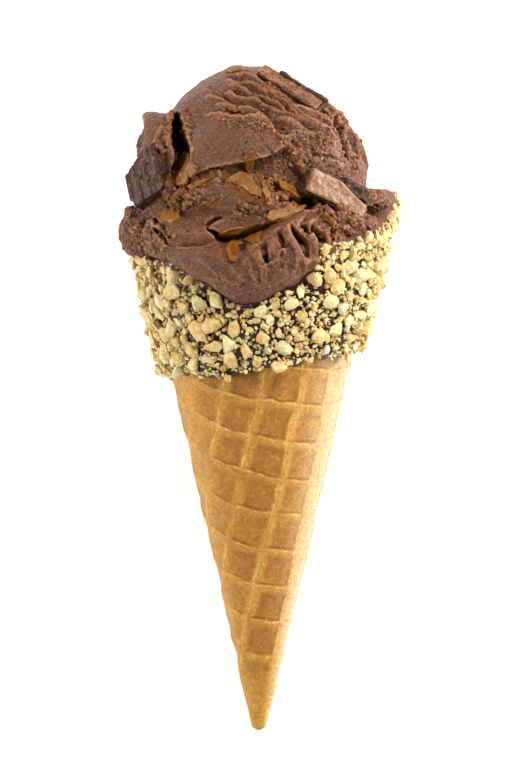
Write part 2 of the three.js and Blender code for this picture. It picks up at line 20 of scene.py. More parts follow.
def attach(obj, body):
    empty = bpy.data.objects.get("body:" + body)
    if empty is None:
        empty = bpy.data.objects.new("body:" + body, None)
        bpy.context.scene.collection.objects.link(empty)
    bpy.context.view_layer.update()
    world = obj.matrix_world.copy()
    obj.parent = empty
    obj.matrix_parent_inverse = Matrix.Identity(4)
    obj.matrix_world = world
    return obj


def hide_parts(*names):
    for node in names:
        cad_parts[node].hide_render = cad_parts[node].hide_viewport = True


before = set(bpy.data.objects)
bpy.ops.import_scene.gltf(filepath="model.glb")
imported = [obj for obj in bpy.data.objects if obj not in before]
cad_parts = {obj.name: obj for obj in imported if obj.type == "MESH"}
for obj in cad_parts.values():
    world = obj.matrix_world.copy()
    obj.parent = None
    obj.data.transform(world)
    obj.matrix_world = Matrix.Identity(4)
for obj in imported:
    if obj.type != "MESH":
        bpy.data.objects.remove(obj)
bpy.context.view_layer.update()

# %% [markdown]
# ## Work standing up, then lay it down
# A cone is easiest to model in its own axes: millimetres, with +Y up the axis from the point where
# its slopes would meet, +Z towards the shown side and +X to the right. One matrix at the end lays
# every piece on the floor, where it rests on its tip and on the dipped band.

# %% How the cone lies
MM = 0.001
REST_TIP = (11, 1.7)  # the floor passes under these heights of the axis at these depths
REST_DIP = (150, 35.8)
REST_CENTRE = 138  # the origin is below this height of the axis
TILT = math.atan2(REST_DIP[1] - REST_TIP[1], REST_DIP[0] - REST_TIP[0])
REST_DEPTH = REST_TIP[1] + (REST_CENTRE - REST_TIP[0]) * math.tan(TILT)
LAID = (
    Matrix.Scale(MM, 4)
    @ Matrix.Rotation(TILT, 4, "X")
    @ Matrix.Translation((0, -REST_CENTRE, REST_DEPTH))
)
print(f"the axis lies {math.degrees(TILT):.1f} degrees off the floor")

# %% [markdown]
# ## The camera
# The cone was seen from in front and slightly above, with a long lens. Laid down, it is seen from
# almost straight above. The camera is set in the cone's own axes and then laid down with it.

# %% Place the camera
VIEW_DISTANCE = 1050.0
VIEW_RISE = math.radians(3.76)  # how far above the cone's waist line the camera stands
AIM = Vector((2.25, 114.5, 0.0))
IMAGE = (532, 768)
IMAGE_SCALE = 0.3  # millimetres at the aim for each pixel
SENSOR = 36.0
to_camera = Vector((0, math.sin(VIEW_RISE), math.cos(VIEW_RISE)))
view_up = Vector((0, math.cos(VIEW_RISE), -math.sin(VIEW_RISE)))

camera_data = bpy.data.cameras.new("camera")
camera_data.sensor_width = SENSOR
camera_data.lens = SENSOR * VIEW_DISTANCE / (IMAGE_SCALE * max(IMAGE))
camera_data.clip_start = 0.05
camera_data.clip_end = 20
camera = bpy.data.objects.new("camera", camera_data)
bpy.context.scene.collection.objects.link(camera)
stand = Matrix.Translation(AIM + to_camera * VIEW_DISTANCE)
axes = Matrix((Vector((1, 0, 0)), view_up, to_camera)).transposed().to_4x4()
place, turn, _ = (LAID @ stand @ axes).decompose()
camera.location = place
camera.rotation_mode = "QUATERNION"
camera.rotation_quaternion = turn
bpy.context.scene.camera = camera
print(f"lens {camera_data.lens:.0f} mm, camera {1000 * place.z:.0f} mm above the floor")

# %% [markdown]
# ## A pattern plane in front of the cone
# Tears, flakes and crumbs are drawn on a plane through the axis and thrown onto the scoop from the
# camera's place, as a slide is thrown on a wall. A place on that plane is given in millimetres:
# how far right of the axis, and how high above the point where the slopes meet.

# %% Between the surface and the pattern plane
PLANE_SHIFT = np.array([AIM.x, 113.4])  # the place on the plane behind which the aim lies


def seen(points):
    """Where points of the surface fall on the pattern plane."""
    away = points - np.array(AIM)
    near = VIEW_DISTANCE / (VIEW_DISTANCE - away @ np.array(to_camera))
    across = away[:, 0] * near + PLANE_SHIFT[0]
    up = (away @ np.array(view_up)) * near + PLANE_SHIFT[1]
    return across, up


def ray_to(across, up):
    """The line from the camera through a place on the pattern plane."""
    start = AIM + to_camera * VIEW_DISTANCE
    through = AIM + Vector((across - PLANE_SHIFT[0], 0, 0)) + view_up * (up - PLANE_SHIFT[1])
    return start, (through - start).normalized()


# %% [markdown]
# ## Noise that is the same each time
# Ice cream, nuts and batter are uneven at every scale. A Displace modifier with a texture could
# move the points, but here the noise also has to bend lines and choose places. Two kinds of noise
# do that: smooth waves, and round pebbles packed side by side. Both read one seeded table, so each
# run gives one result.

# %% Noise
TABLE_SIDE = 64
TABLE = np.random.default_rng(7).random((TABLE_SIDE, TABLE_SIDE, TABLE_SIDE, 3))


def waves(points, size, seed=0):
    """Smooth noise from -1 to 1 whose bumps are about as wide as size."""
    scaled = points / size + 13.7 * seed
    base = np.floor(scaled).astype(int)
    share = scaled - base
    share = share * share * (3 - 2 * share)
    total = np.zeros(len(points))
    for corner in itertools.product((0, 1), repeat=3):
        weight = np.prod(np.where(corner, share, 1 - share), axis=1)
        cell = (base + corner) % TABLE_SIDE
        total += weight * TABLE[cell[:, 0], cell[:, 1], cell[:, 2], 0]
    return 2 * total - 1


def rough(points, size, seed=0, layers=3):
    """Waves with finer and weaker waves on them."""
    return sum(waves(points, size / 2**k, seed + k) / 2**k for k in range(layers)) / 1.6


def pebbles(points, size, seed=0):
    """Lumps packed side by side: up to 1 on top of each, 0 in the cracks between them."""
    scaled = points / size + 9.1 * seed
    base = np.floor(scaled).astype(int)
    nearest = np.full(len(points), 4.0)
    height = np.zeros(len(points))
    for step in itertools.product((-1, 0, 1), repeat=3):
        cell = base + step
        wrapped = cell % TABLE_SIDE
        spot = TABLE[wrapped[:, 0], wrapped[:, 1], wrapped[:, 2]]
        gap = np.sum((scaled - cell - spot) ** 2, axis=1)
        closer = gap < nearest
        nearest = np.where(closer, gap, nearest)
        height = np.where(closer, 0.45 + 0.55 * np.modf(7 * spot.sum(axis=1))[0], height)
    return height * np.sqrt(np.clip(1 - 1.6 * nearest, 0, 1))


def smooth_step(value, low, high):
    """0 below low, 1 above high, and a soft rise between them."""
    share = np.clip((value - low) / (high - low), 0, 1)
    return share * share * (3 - 2 * share)


# %% [markdown]
# ## Small tools for meshes
# New pieces start as Blender primitives. The tools below read and write their points all at once,
# which is how one sculpts in code when there is no window to brush in.

# %% Choose and name pieces


def deselect():
    bpy.ops.object.select_all(action="DESELECT")


def fresh(name):
    """The piece that an operator has just added, under its own name."""
    piece = bpy.context.active_object
    piece.name = piece.data.name = name
    return piece


def choose(*pieces):
    deselect()
    for piece in pieces:
        piece.select_set(True)
    bpy.context.view_layer.objects.active = pieces[0]


def join(name, pieces):
    choose(*pieces)
    bpy.ops.object.join()
    return fresh(name)


# %% Read and move points


def points_of(piece):
    flat = np.empty(3 * len(piece.data.vertices))
    piece.data.vertices.foreach_get("co", flat)
    return flat.reshape(-1, 3)


def move_points(piece, points):
    piece.data.vertices.foreach_set("co", np.ascontiguousarray(points, dtype=float).ravel())
    piece.data.update()


def normals_of(piece):
    flat = np.empty(3 * len(piece.data.vertices))
    piece.data.vertex_normals.foreach_get("vector", flat)
    return flat.reshape(-1, 3)


def edges_of(piece):
    flat = np.empty(2 * len(piece.data.edges), dtype=np.int32)
    piece.data.edges.foreach_get("vertices", flat)
    return flat.reshape(-1, 2)


# %% Paint and finish


def paint(piece, name, values):
    """Keeps one number for each point, which a material can read by name."""
    layer = piece.data.attributes.new(name, "FLOAT", "POINT")
    layer.data.foreach_set("value", np.ascontiguousarray(values, dtype=np.float32))


def finish_with(piece, kind, **settings):
    """Adds a modifier with its settings and applies it."""
    choose(piece)
    modifier = piece.modifiers.new(kind.lower(), kind)
    for name, value in settings.items():
        setattr(modifier, name, value)
    bpy.ops.object.modifier_apply(modifier=modifier.name)


def triangles(piece):
    piece.data.calc_loop_triangles()
    return len(piece.data.loop_triangles)


def report(piece):
    """Prints how many triangles a piece has, and the corners of its box."""
    box = np.round([points_of(piece).min(0), points_of(piece).max(0)], 1).tolist()
    print(piece.name, triangles(piece), "triangles, box", box)


# %% [markdown]
# ## The lumps of the scoop
# A scoop is not a ball. The spade presses several lumps together: a dome, a band below it, lumps
# that are squeezed out over the rim, and a tongue that hangs down in front. Each lump starts as a
# UV sphere. Boolean unions would leave sharp seams between them. So the lumps of one piece are
# joined and then remeshed to one skin of small equal faces, which melts the seams together as the
# spade does.

# %% Sizes of the lumps
DOME = [  # centre, radii, turn about +Z in degrees
    [(0.6, 178.6, 0), (32, 31.8, 32), 0],
    [(-6.5, 183.5, 14), (20, 13.5, 20), 12],
    [(-9, 184, -12), (21, 14, 19.5), -20],
]
SIDE_LUMP = [(-25.5, 186, 2), (11, 9.5, 15), 25]
BAND = [
    [(-0.5, 164.5, -1), (35.5, 19, 34), 0],
    [(-4, 170.2, 15), (25, 11.5, 19), -8],
    [(5, 168, -14), (31, 14, 25), 0],
]
RIM_LUMPS = [  # turn, height and distance from the axis; half turn, half height, half thickness
    [(-50, 158.5, 30), (27, 8.2, 10.2)],
    [(-88, 159.8, 29), (24, 9.2, 13.2)],
    [(50, 164, 27), (24, 7.5, 11.5)],
    [(-132, 160, 28), (30, 8, 12.2)],
    [(92, 168.4, 33.4), (28, 4.8, 6.4)],
    [(65, 162.6, 34.4), (15, 3.8, 5.0)],
]
PRESSED = [  # flat places of the dome: the way each faces, and how far out it lies
    ((0.533, 0.846, 0), 178.9),
    ((0.822, 0.569, 0), 131.8),
]
print(len(DOME), "lumps in the dome,", len(BAND) + len(RIM_LUMPS), "in the band and over the rim")

# %% Lumps from spheres
SPHERE_FACES = {"segments": 64, "ring_count": 32}
UNEVEN = 0.03  # how far the waves go, as a share of the lump's radius


def lump(centre, radii, turn_degrees, seed):
    """A sphere with low waves over it."""
    deselect()
    bpy.ops.mesh.primitive_uv_sphere_add(
        location=centre,
        scale=radii,
        rotation=(0, 0, math.radians(turn_degrees)),
        **SPHERE_FACES,
    )
    piece = fresh("lump")
    bpy.ops.object.transform_apply()
    points = points_of(piece)
    outward = points - np.array(centre)
    share = UNEVEN * waves(points, 14, seed)[:, None]
    move_points(piece, points + outward * share)
    return piece


def press_flat(piece, facing, reach):
    """Pushes what lies beyond a plane back onto it."""
    points = points_of(piece)
    beyond = np.maximum(points @ np.array(facing) - reach, 0)
    move_points(piece, points - beyond[:, None] * np.array(facing))


def round_axis(distance, turn_degrees, height):
    """Points at distances, turns and heights round the axis. Turn 0 faces the camera."""
    turn = np.radians(turn_degrees)
    return np.stack([distance * np.sin(turn), height, distance * np.cos(turn)], axis=1)


def rim_lump(centre, half, seed):
    """A sphere bent round the axis, for a lump that hangs over the rim."""
    deselect()
    bpy.ops.mesh.primitive_uv_sphere_add(**SPHERE_FACES)
    piece = fresh("lump")
    x, y, z = points_of(piece).T
    height = centre[1] + half[1] * y * (1 - 0.15 * np.abs(x))
    points = round_axis(centre[2] + half[2] * z, centre[0] + half[0] * x, height)
    axis = points * np.array([1, 0, 1])
    move_points(piece, points + UNEVEN * axis * waves(points, 9, seed)[:, None])
    return piece


# %% One skin over many lumps


def one_skin(piece, cell, melt):
    """Covers lumps with one even skin."""
    finish_with(piece, "REMESH", mode="VOXEL", voxel_size=cell, use_smooth_shade=True)
    finish_with(piece, "SMOOTH", factor=0.5, iterations=melt)
    return piece


def copy_of(piece, name):
    """A copy with a mesh of its own."""
    choose(piece)
    bpy.ops.object.duplicate()
    return fresh(name)


def cut_flat(piece, place, facing):
    """Cuts a piece at a plane and closes it. What lies on the side that the plane faces is kept."""
    choose(piece)
    bpy.ops.object.mode_set(mode="EDIT")
    bpy.ops.mesh.select_all(action="SELECT")
    bpy.ops.mesh.bisect(plane_co=place, plane_no=facing, use_fill=True, clear_inner=True)
    bpy.ops.object.mode_set(mode="OBJECT")


FRONT_FROM, BACK_FROM = -4, -1  # depths of the cuts: the front reaches into the back
FRONT_MELT, BACK_MELT = 8, 3


def front_and_back(lumps, name, fine, coarse, low):
    """Skins of the lumps in two parts: the shown one has finer faces and nothing hidden below."""
    front = one_skin(copy_of(lumps, name + "_front"), cell=fine, melt=FRONT_MELT)
    cut_flat(front, (0, 0, FRONT_FROM), (0, 0, 1))
    cut_flat(front, (0, low, 0), (0, 1, 0))
    back = one_skin(copy_of(lumps, name + "_back"), cell=coarse, melt=BACK_MELT)
    cut_flat(back, (0, 0, BACK_FROM), (0, 0, -1))
    bpy.data.objects.remove(lumps)
    return front, back


# %% [markdown]
# ## Sculpting by rule
# The spade drags the ice cream, so its skin tears into layers. Each layer ends in a ragged edge
# that stands up, with a dark hollow behind it. The hollow and the edge lie along a drawn line.
# Beside tears there are cracks, soft bumps, crumbly places and tiny air holes. Every rule below
# adds to how far each point is to move along its normal, and all of them are applied at once.

# %% A piece while it is sculpted
ONLY_SHOWN = (-0.1, 0.15)  # how far a point faces the camera before drawn lines reach it


class Skin:
    """A piece while it is sculpted."""

    def __init__(self, piece):
        self.piece = piece
        self.points = points_of(piece)
        self.normals = normals_of(piece)
        self.across, self.up = seen(self.points)
        facing = self.normals @ np.array(to_camera)
        self.front = smooth_step(facing, *ONLY_SHOWN)
        self.lift = np.zeros(len(self.points))
        self.slide = np.zeros((len(self.points), 3))
        # dark will hold painted shade for hollows, cracks and gaps, and pale a painted highlight
        self.gold, self.dark, self.pale = np.zeros((3, len(self.points)))


# %% Find the points beside a line


def curve_through(knots, steps=6):
    """A smooth line through a few knots."""
    knots = np.array(knots, float)
    guides = np.vstack([2 * knots[0] - knots[1], knots, 2 * knots[-1] - knots[-2]])
    line = []
    for i in range(len(knots) - 1):
        a, b, c, d = guides[i : i + 4]
        for t in np.arange(steps) / steps:
            line.append(
                0.5 * (2 * b + (c - a) * t + (2 * a - 5 * b + 4 * c - d) * t**2)
                + 0.5 * (3 * b - a - 3 * c + d) * t**3
            )
    return np.array(line + [knots[-1]])


def beside(skin, knots, reach):
    """The points near a line, their distance above it, and how far along it they are."""
    line = curve_through(knots)
    low, high = line.min(0) - reach, line.max(0) + reach
    near = (
        (skin.across > low[0])
        & (skin.across < high[0])
        & (skin.up > low[1])
        & (skin.up < high[1])
        & (skin.front > 0)
    )
    near = np.nonzero(near)[0]
    here = np.stack([skin.across[near], skin.up[near]], axis=1)
    best = np.full(len(near), 1e9)
    above = np.zeros(len(near))
    along = np.zeros(len(near))
    steps = np.hypot(*np.diff(line, axis=0).T)
    reached = np.concatenate([[0], np.cumsum(steps)])
    for i, length in enumerate(steps):
        way = (line[i + 1] - line[i]) / length
        offset = here - line[i]
        t = np.clip(offset @ way, 0, length)
        gap = np.hypot(*(offset - t[:, None] * way).T)
        side = way[0] * offset[:, 1] - way[1] * offset[:, 0]
        closer = gap < best
        best = np.where(closer, gap, best)
        above = np.where(closer, np.where(side >= 0, gap, -gap), above)
        along = np.where(closer, (reached[i] + t) / reached[-1], along)
    return near, above, along


def ends(along, soft=0.12):
    """0 at both ends of a line and 1 between them."""
    return smooth_step(along, 0, soft) * smooth_step(1 - along, 0, soft)


# %% Tears
TEAR_REACH, OVERHANG_REACH = 9, 14  # how far beside its line each moves the skin


def tear(skin, knots, rise, hollow, rag=0.24, hang=0.45, body=2.6, depth=1.1):
    """A layer below a line, with its torn edge standing up, and the hollow above the line."""
    near, above, along = beside(skin, knots, TEAR_REACH)
    here = skin.points[near]
    ragged = 0.8 * waves(here, 0.7, 2) + waves(here, 1.4, 3) + 1.3 * waves(here, 3.1, 4)
    above = above + rag * ragged
    strength = ends(along) * (1 + 0.35 * waves(here, 3.5, 5)) * skin.front[near]
    layer = rise * np.exp(np.minimum(above, 0) / body)
    under = -hollow * np.exp(-np.maximum(above, 0) / depth)
    lip = smooth_step(above, -0.15, 0.15)
    skin.lift[near] += strength * (layer * (1 - lip) + under * lip)
    top = np.clip(1 + above / 1.1, 0, 1) * (above < 0.1)
    skin.slide[near, 1] += strength * hang * top
    # painted shade in the hollow above the torn edge
    shade = lip * np.exp(-np.maximum(above, 0) / (0.5 * depth)) * min(1, hollow / 1.2)
    skin.dark[near] = np.maximum(skin.dark[near], 0.85 * strength * shade)


# %% Overhangs and cracks


def overhang(skin, knots, rise, drop, rag=0.15, hang=0.6):
    """The lower edge of a lump: above the line it bulges, and below it the skin falls back."""
    near, above, along = beside(skin, knots, OVERHANG_REACH)
    here = skin.points[near]
    above = above + rag * (waves(here, 1.3, 6) + waves(here, 3.7, 7))
    strength = ends(along, 0.08) * skin.front[near]
    bulge = rise * np.exp(-np.maximum(above, 0) / 2.5)
    fall = -drop * (1 - np.exp(np.minimum(above, 0) / 1.2))
    skin.lift[near] += strength * np.where(above > 0, bulge, fall + bulge * np.exp(above / 0.5))
    skin.slide[near, 1] -= strength * hang * np.clip(1 - above / 1.5, 0, 1) * (above > -0.2)


def crack(skin, knots, width, depth, rag=0.25, shoulder=0.0, straight=False):
    """A dark split, widest in its middle. Its sides may be rounded off, and it may go
    straight in instead of square to the surface."""
    near, above, along = beside(skin, knots, 6 * width)
    here = skin.points[near]
    above = above + rag * (waves(here, 1.2, 8) + waves(here, 2.6, 9))
    open_here = width * (0.35 + 0.65 * np.sin(np.pi * np.clip(along, 0, 1)))
    shape = np.clip(1 - (np.abs(above) / open_here) ** 2, 0, 1) ** 0.7
    strength = ends(along, 0.1) * skin.front[near]
    inward = strength * (depth * shape + shoulder * np.exp(-((above / (1.9 * width)) ** 2)))
    if straight:
        skin.slide[near] -= inward[:, None] * np.array(to_camera)
    else:
        skin.lift[near] -= inward
    # painted shade in the split, darker the deeper it goes
    skin.dark[near] = np.maximum(skin.dark[near], strength * shape * min(1, depth / 3))


# %% Many short tears


def spot(oval, x, y):
    """A place in a turned oval on the pattern plane, x along it and y across it."""
    across, up, _, _, turn_degrees = oval
    turn = math.radians(turn_degrees)
    return (
        across + x * math.cos(turn) - y * math.sin(turn),
        up + x * math.sin(turn) + y * math.cos(turn),
    )


def short_tears(skin, oval, count, length, rise, seed):
    """Small random tears that lie roughly one way, where stiff ice cream was dragged."""
    pick = random.Random(seed)
    _, _, half_width, half_height, turn_degrees = oval
    for _ in range(count):
        x, y = half_width * pick.uniform(-1, 1), half_height * pick.uniform(-1, 1)
        a, b = spot(oval, x, y)
        way = math.radians(turn_degrees) + math.radians(pick.gauss(0, 16))
        reach = length * pick.uniform(0.5, 1.4)
        knots = []
        for share in (-0.5, -0.17, 0.17, 0.5):
            drift = pick.gauss(0, 0.09) * length
            x, y = reach * share * math.cos(way), reach * share * math.sin(way)
            knots.append((a + x - drift * math.sin(way), b + y + drift * math.cos(way)))
        high = rise * pick.uniform(0.5, 1.4)
        tear(skin, knots, high, 1.1 * high, rag=0.2, hang=0.25, body=1.5, depth=0.7)


# %% Soft forms and patches


def in_oval(skin, oval):
    """Each point's place in a turned oval on the pattern plane, whose rim is at 1."""
    across, up, half_width, half_height, turn_degrees = oval
    turn = math.radians(turn_degrees)
    dx, dy = skin.across - across, skin.up - up
    x = (dx * math.cos(turn) + dy * math.sin(turn)) / half_width
    y = (dy * math.cos(turn) - dx * math.sin(turn)) / half_height
    return x, y


def patch(skin, oval):
    """How much each point lies in a soft oval, from 0 to 1."""
    return smooth_step(1.25 - np.hypot(*in_oval(skin, oval)), 0, 0.5) * skin.front


def patches_of(skin, ovals):
    """How much each point lies in any of several ovals."""
    return np.max([patch(skin, oval) for oval in ovals], axis=0)


def bumps(skin, *table):
    """Soft hills, and hollows where the height is negative."""
    for oval, height in table:
        x, y = in_oval(skin, oval)
        skin.lift += height * np.exp(-(x**2) - y**2) * skin.front


# %% Crumbly places and air holes
SOME = 0.02  # a share below this counts as none


def crumble(skin, share, size, height, seed):
    """Makes places crumbly. share says how much, from 0 to 1."""
    inside = np.nonzero(share > SOME)[0]
    here = skin.points[inside]
    uneven = rough(here, 1.6 * size, seed, layers=4)
    some = smooth_step(waves(here, 2.4 * size, seed + 5), -0.2, 0.4)
    loose = pebbles(here, 1.1 * size, seed + 4) * some
    tiny = pebbles(here, 0.6 * size, seed + 6)
    skin.lift[inside] += share[inside] * height * (0.8 * uneven + 0.75 * loose + 0.35 * tiny - 0.35)
    # painted shade in the deep places between the crumbs
    deep = smooth_step(-uneven - 0.6 * loose, 0.12, 0.5)
    skin.dark[inside] = np.maximum(skin.dark[inside], 0.8 * share[inside] * deep)


def air_holes(skin, share, seed):
    """A few pin holes where air was trapped."""
    inside = np.nonzero(share > SOME)[0]
    here = skin.points[inside]
    holes = smooth_step(pebbles(here, 1.5, seed), 0.9, 0.97)
    skin.lift[inside] -= 0.4 * share[inside] * holes


def gild(skin, ovals, amount):
    """Colours smears of peanut butter, with ragged outlines."""
    for oval in ovals:
        inside = patch(skin, oval)
        edge = inside + 0.35 * rough(skin.points, 2.4, 21)
        skin.gold = np.maximum(skin.gold, amount * smooth_step(edge, 0.35, 0.6) * (inside > 0))


# %% What all the ice cream has


def plain_skin(skin):
    """What all the ice cream has: slow unevenness, drag marks and a fine grain."""
    stretched = skin.points * np.array([1, 0.35, 1])
    skin.lift += 0.4 * rough(skin.points, 9, 31) + 0.12 * rough(stretched, 1.6, 32)
    skin.lift += 0.16 * waves(skin.points, 2.6, 33) + 0.13 * rough(skin.points, 1.0, 34)


def torn_all_round(skin, share, seed, spacing=6.5):
    """Layers and crumbly places for the sides and back, where no line is drawn."""
    here = skin.points
    level = (here[:, 1] + 3.2 * waves(here, 13, seed) + 0.8 * waves(here, 3, seed + 1)) / spacing
    within = level - np.floor(level)
    there = smooth_step(waves(here, 11, seed + 2), -0.15, 0.35) * share
    skin.lift += there * (1.3 * within**3 - 0.9 * smooth_step(within, 0.9, 1.0) * within - 0.3)
    crumbly = smooth_step(waves(here, 12, seed + 5), 0.2, 0.55) * share
    crumble(skin, crumbly, 1.5, 0.9, seed + 6)


# %% Move the points
SMOOTHINGS = 14
STAND_RANGE = 0.8  # millimetres from the deepest hollow to the highest tip


def sculpt(skin):
    """Moves the points, and paints how much each stands out from a smoothed copy, and colours."""
    move_points(skin.piece, skin.points + skin.normals * skin.lift[:, None] + skin.slide)
    edges = edges_of(skin.piece)
    count = np.bincount(edges.ravel(), minlength=len(skin.lift))
    level = points_of(skin.piece)
    for _ in range(SMOOTHINGS):
        total = np.stack(
            [
                np.bincount(edges[:, 0], level[edges[:, 1], k], len(level))
                + np.bincount(edges[:, 1], level[edges[:, 0], k], len(level))
                for k in range(3)
            ],
            axis=1,
        )
        level = 0.4 * level + 0.6 * total / np.maximum(count, 1)[:, None]
    stand = np.sum((points_of(skin.piece) - level) * skin.normals, axis=1)
    # the ice cream material paints shade where a point lies low and a highlight where it stands out
    paint(skin.piece, "stand", np.clip(0.5 + stand / STAND_RANGE, 0, 1))
    paint(skin.piece, "gold", skin.gold)
    # dark is painted shade, and pale is a painted highlight
    paint(skin.piece, "dark", np.clip(skin.dark, 0, 1))
    paint(skin.piece, "pale", skin.pale)
    report(skin.piece)


# %% [markdown]
# ## The dome
# The top of the scoop. Its lower left is one smooth bulging face with a sharp lower lip, its right
# is torn into thin layers that run down to the right, and further right it crumbles. Noise alone
# could roughen it, but the eye knows a scoop by its long tears. So each is drawn as a line of
# knots, with its own height, and noise only makes the lines ragged.

# %% Lines on the dome
DOME_TEARS = [  # knots on the pattern plane, height of the edge, depth of the hollow
    ([(-16, 194.2), (-9.7, 192.8), (-6.5, 191.6), (-0.7, 191.7), (2.7, 190.8), (4.1, 188.8),
      (7.1, 187.4), (10.4, 187.9)], 1.7, 1.7),
    ([(-13.3, 197), (-9.4, 196.7), (-5.5, 195.4), (-2.6, 195.6), (-0.2, 194.2),
      (3.2, 192.2)], 1.4, 1.6),
    ([(-16, 199.4), (-11.6, 198.9), (-8, 197.4)], 0.8, 1.1),
    ([(-11.1, 201.2), (-8, 200.2), (-5.5, 198.7), (-0.7, 198), (1.7, 196.1), (6.1, 194.2),
      (10, 192.7), (15.8, 191.3), (21.6, 187.9), (24.5, 186)], 1.4, 1.7),
    ([(-9.1, 202.8), (-5.5, 201.9), (-0.7, 199.4), (3.2, 197.6), (6.1, 196.1), (9, 194.2)], 1.2, 1.5),
    ([(-10.5, 205.1), (-5.5, 203.1), (-2.6, 202.9), (2.2, 201), (6.6, 197.6), (10.4, 195.6),
      (14.8, 192.9), (19.7, 190.3), (23.5, 187.2)], 1.4, 1.7),
    ([(-9.7, 206.2), (-3.8, 205.4), (-0.7, 204.8), (5.6, 200.4), (9, 197.8), (13.4, 196.6),
      (17.2, 195.1), (21.6, 191.7), (24.2, 187.9)], 1.3, 1.6),
    ([(4.1, 192.4), (8.5, 191.7), (12.9, 189.8), (17.2, 187.4), (20.6, 185.9)], 1.3, 1.7),
    ([(15, 181.4), (20, 181), (26, 178.6)], 1.2, 1.6),
]
DOME_LIP = [(-21.5, 174.5), (-17.7, 177.6), (-12.8, 179.2), (-4.2, 180.9), (3.4, 182.7), (8.9, 185.8)]
DOME_GAP = [(-24.8, 195.5), (-24.4, 191.5), (-24, 187), (-22.8, 182.5), (-23.8, 178), (-26, 173.5)]
DOME_CRACKS = [  # knots, width, depth
    ([(23.2, 194.6), (24.4, 189.8), (25.3, 185.2), (27.4, 180)], 1.1, 2.6),
    ([(16.6, 196.4), (19.2, 196.2), (22.2, 194.4)], 0.9, 2.4),
    ([(27.4, 188.4), (28.6, 184.6), (30.4, 180.6)], 0.9, 2.0),
    ([(25.2, 193.8), (27.4, 190.4), (29.2, 186.6), (30.8, 182.8), (31.8, 179.6)], 1.0, 1.8),
]
print(len(DOME_TEARS), "layers end in a tear on the dome")

# %% Ovals on the dome: place on the pattern plane, half sizes and turn
DOME_BUMPS = [  # oval, height
    ((-6, 186, 10, 6, 8), 0.9),
    ((-6.7, 207.5, 3, 1.6, 0), 1.5),
    ((21, 183, 4, 4, 0), 1.6),
    ((13, 188, 4, 3, 0), -1.0),
    ((29.5, 194, 2.2, 5, 28), -3),
    ((33.5, 184, 2.2, 6, 10), -3),
]
DOME_NICHE = ((12.8, 200.2, 9, 2.2, -32), -2.6)  # the top cup piece sits in it
DOME_SHORT_TEARS = [  # oval, how many, length, height, seed
    ((4, 199, 12, 7, -27), 7, 9, 0.4, 1),
    ((23, 189, 5, 7, -40), 9, 6, 0.6, 2),
    ((-18, 196, 5, 9, -25), 8, 5, 0.12, 3),
]
DOME_CRUMBLY = [
    (12, 184.5, 6.5, 4, -20),
    (18, 181, 6, 3, 0),
    (27.5, 183, 3.4, 7, 12),
    (-4, 193.4, 9, 1.2, -8),
    (-21.5, 189, 1.8, 9, 6),
]
DOME_CALM = (-7, 186.5, 12, 6, 8)
DOME_SMEARS = [(-20.3, 181.2, 2, 2, 0), (-7.7, 205.8, 2.4, 0.8, 10), (14, 185, 8, 2, 12)]
DOME_PAINTED_GLINTS = (21, 183, 4.5, 4, -20)  # painted highlights on the crumbs there
DOME_PAINTED_SHEEN = (19, 184.5, 10, 6, -20)  # a faint painted sheen round them
print(len(DOME_BUMPS), "bumps and", len(DOME_CRUMBLY), "crumbly places on the dome")

# %% Sculpt the dome


def open_gap(skin, width, depth):
    """The deep gap beside the side lump. It runs through the dome, the lump and the band."""
    crack(skin, DOME_GAP, width, depth, rag=0.55, straight=True)


def sculpt_dome(piece):
    skin = Skin(piece)
    plain_skin(skin)
    bumps(skin, *DOME_BUMPS)
    for facts in DOME_SHORT_TEARS:
        short_tears(skin, *facts)
    for knots, rise, hollow in DOME_TEARS:
        tear(skin, knots, 1.15 * rise, 1.3 * hollow, rag=0.17)
    for knots, width, depth in DOME_CRACKS:
        crack(skin, knots, width, depth, rag=0.35)
    overhang(skin, DOME_LIP, rise=0.5, drop=3)
    bumps(skin, DOME_NICHE)
    open_gap(skin, width=2.6, depth=14)
    crumbly = patches_of(skin, DOME_CRUMBLY) * (1 - patch(skin, DOME_CALM))
    crumble(skin, crumbly, 1.2, 1.0, 41)
    # a painted highlight: glints on the crumbs right of the dome, and a faint sheen round them
    skin.pale = patch(skin, DOME_PAINTED_GLINTS) * smooth_step(waves(skin.points, 2.5, 46), -0.5, 0.3)
    skin.pale = np.maximum(skin.pale, 0.6 * patch(skin, DOME_PAINTED_SHEEN))
    air_holes(skin, skin.front, 45)
    torn_all_round(skin, (1 - skin.front) * smooth_step(skin.points[:, 2], 6, -8), 50)
    gild(skin, DOME_SMEARS, 0.45)
    sculpt(skin)


dome_lumps = join("dome_lumps", [lump(*shape, seed) for seed, shape in enumerate(DOME)])
for facing, reach in PRESSED:
    press_flat(dome_lumps, facing, reach)
dome_front, dome_back = front_and_back(dome_lumps, "dome", fine=0.29, coarse=0.62, low=166)
sculpt_dome(dome_front)
sculpt_dome(dome_back)

# %% [markdown]
# ## The lump at the side of the dome
# Left of the dome a lobe was squeezed out, with a deep gap between the two. It could be one of the
# dome's lumps, but then the remesh would close the gap, so it is a skin of its own, and the same
# gap is cut into both.

# %% Sculpt the side lump
side_lump = lump(*SIDE_LUMP, 9)
side_lump.name = "side_lump"
skin = Skin(one_skin(side_lump, cell=0.34, melt=3))
plain_skin(skin)
bumps(skin, ((-33, 193, 3.4, 2.6, 40), 4))
crack(skin, [(-33, 193), (-35.5, 186), (-36.8, 179)], width=0.8, depth=1.2)
tear(skin, [(-37, 178), (-31, 187), (-26.5, 194.5)], 0.8, 0.5)
open_gap(skin, width=2.6, depth=14)
crumble(skin, patch(skin, (-26.5, 189, 3, 9, -22)), 1.3, 1.5, 61)
torn_all_round(skin, 1 - skin.front, 62)
sculpt(skin)

# %% [markdown]
# ## The band
# Between the dome's lip and the tongue the ice cream was pressed flat and smeared, and most of the
# golden flakes stick there. On the left and right it breaks up into crumbs over the rim. It is
# sculpted like the dome. It is a piece of its own, because the dome lies on it with an open edge
# that one skin would close.

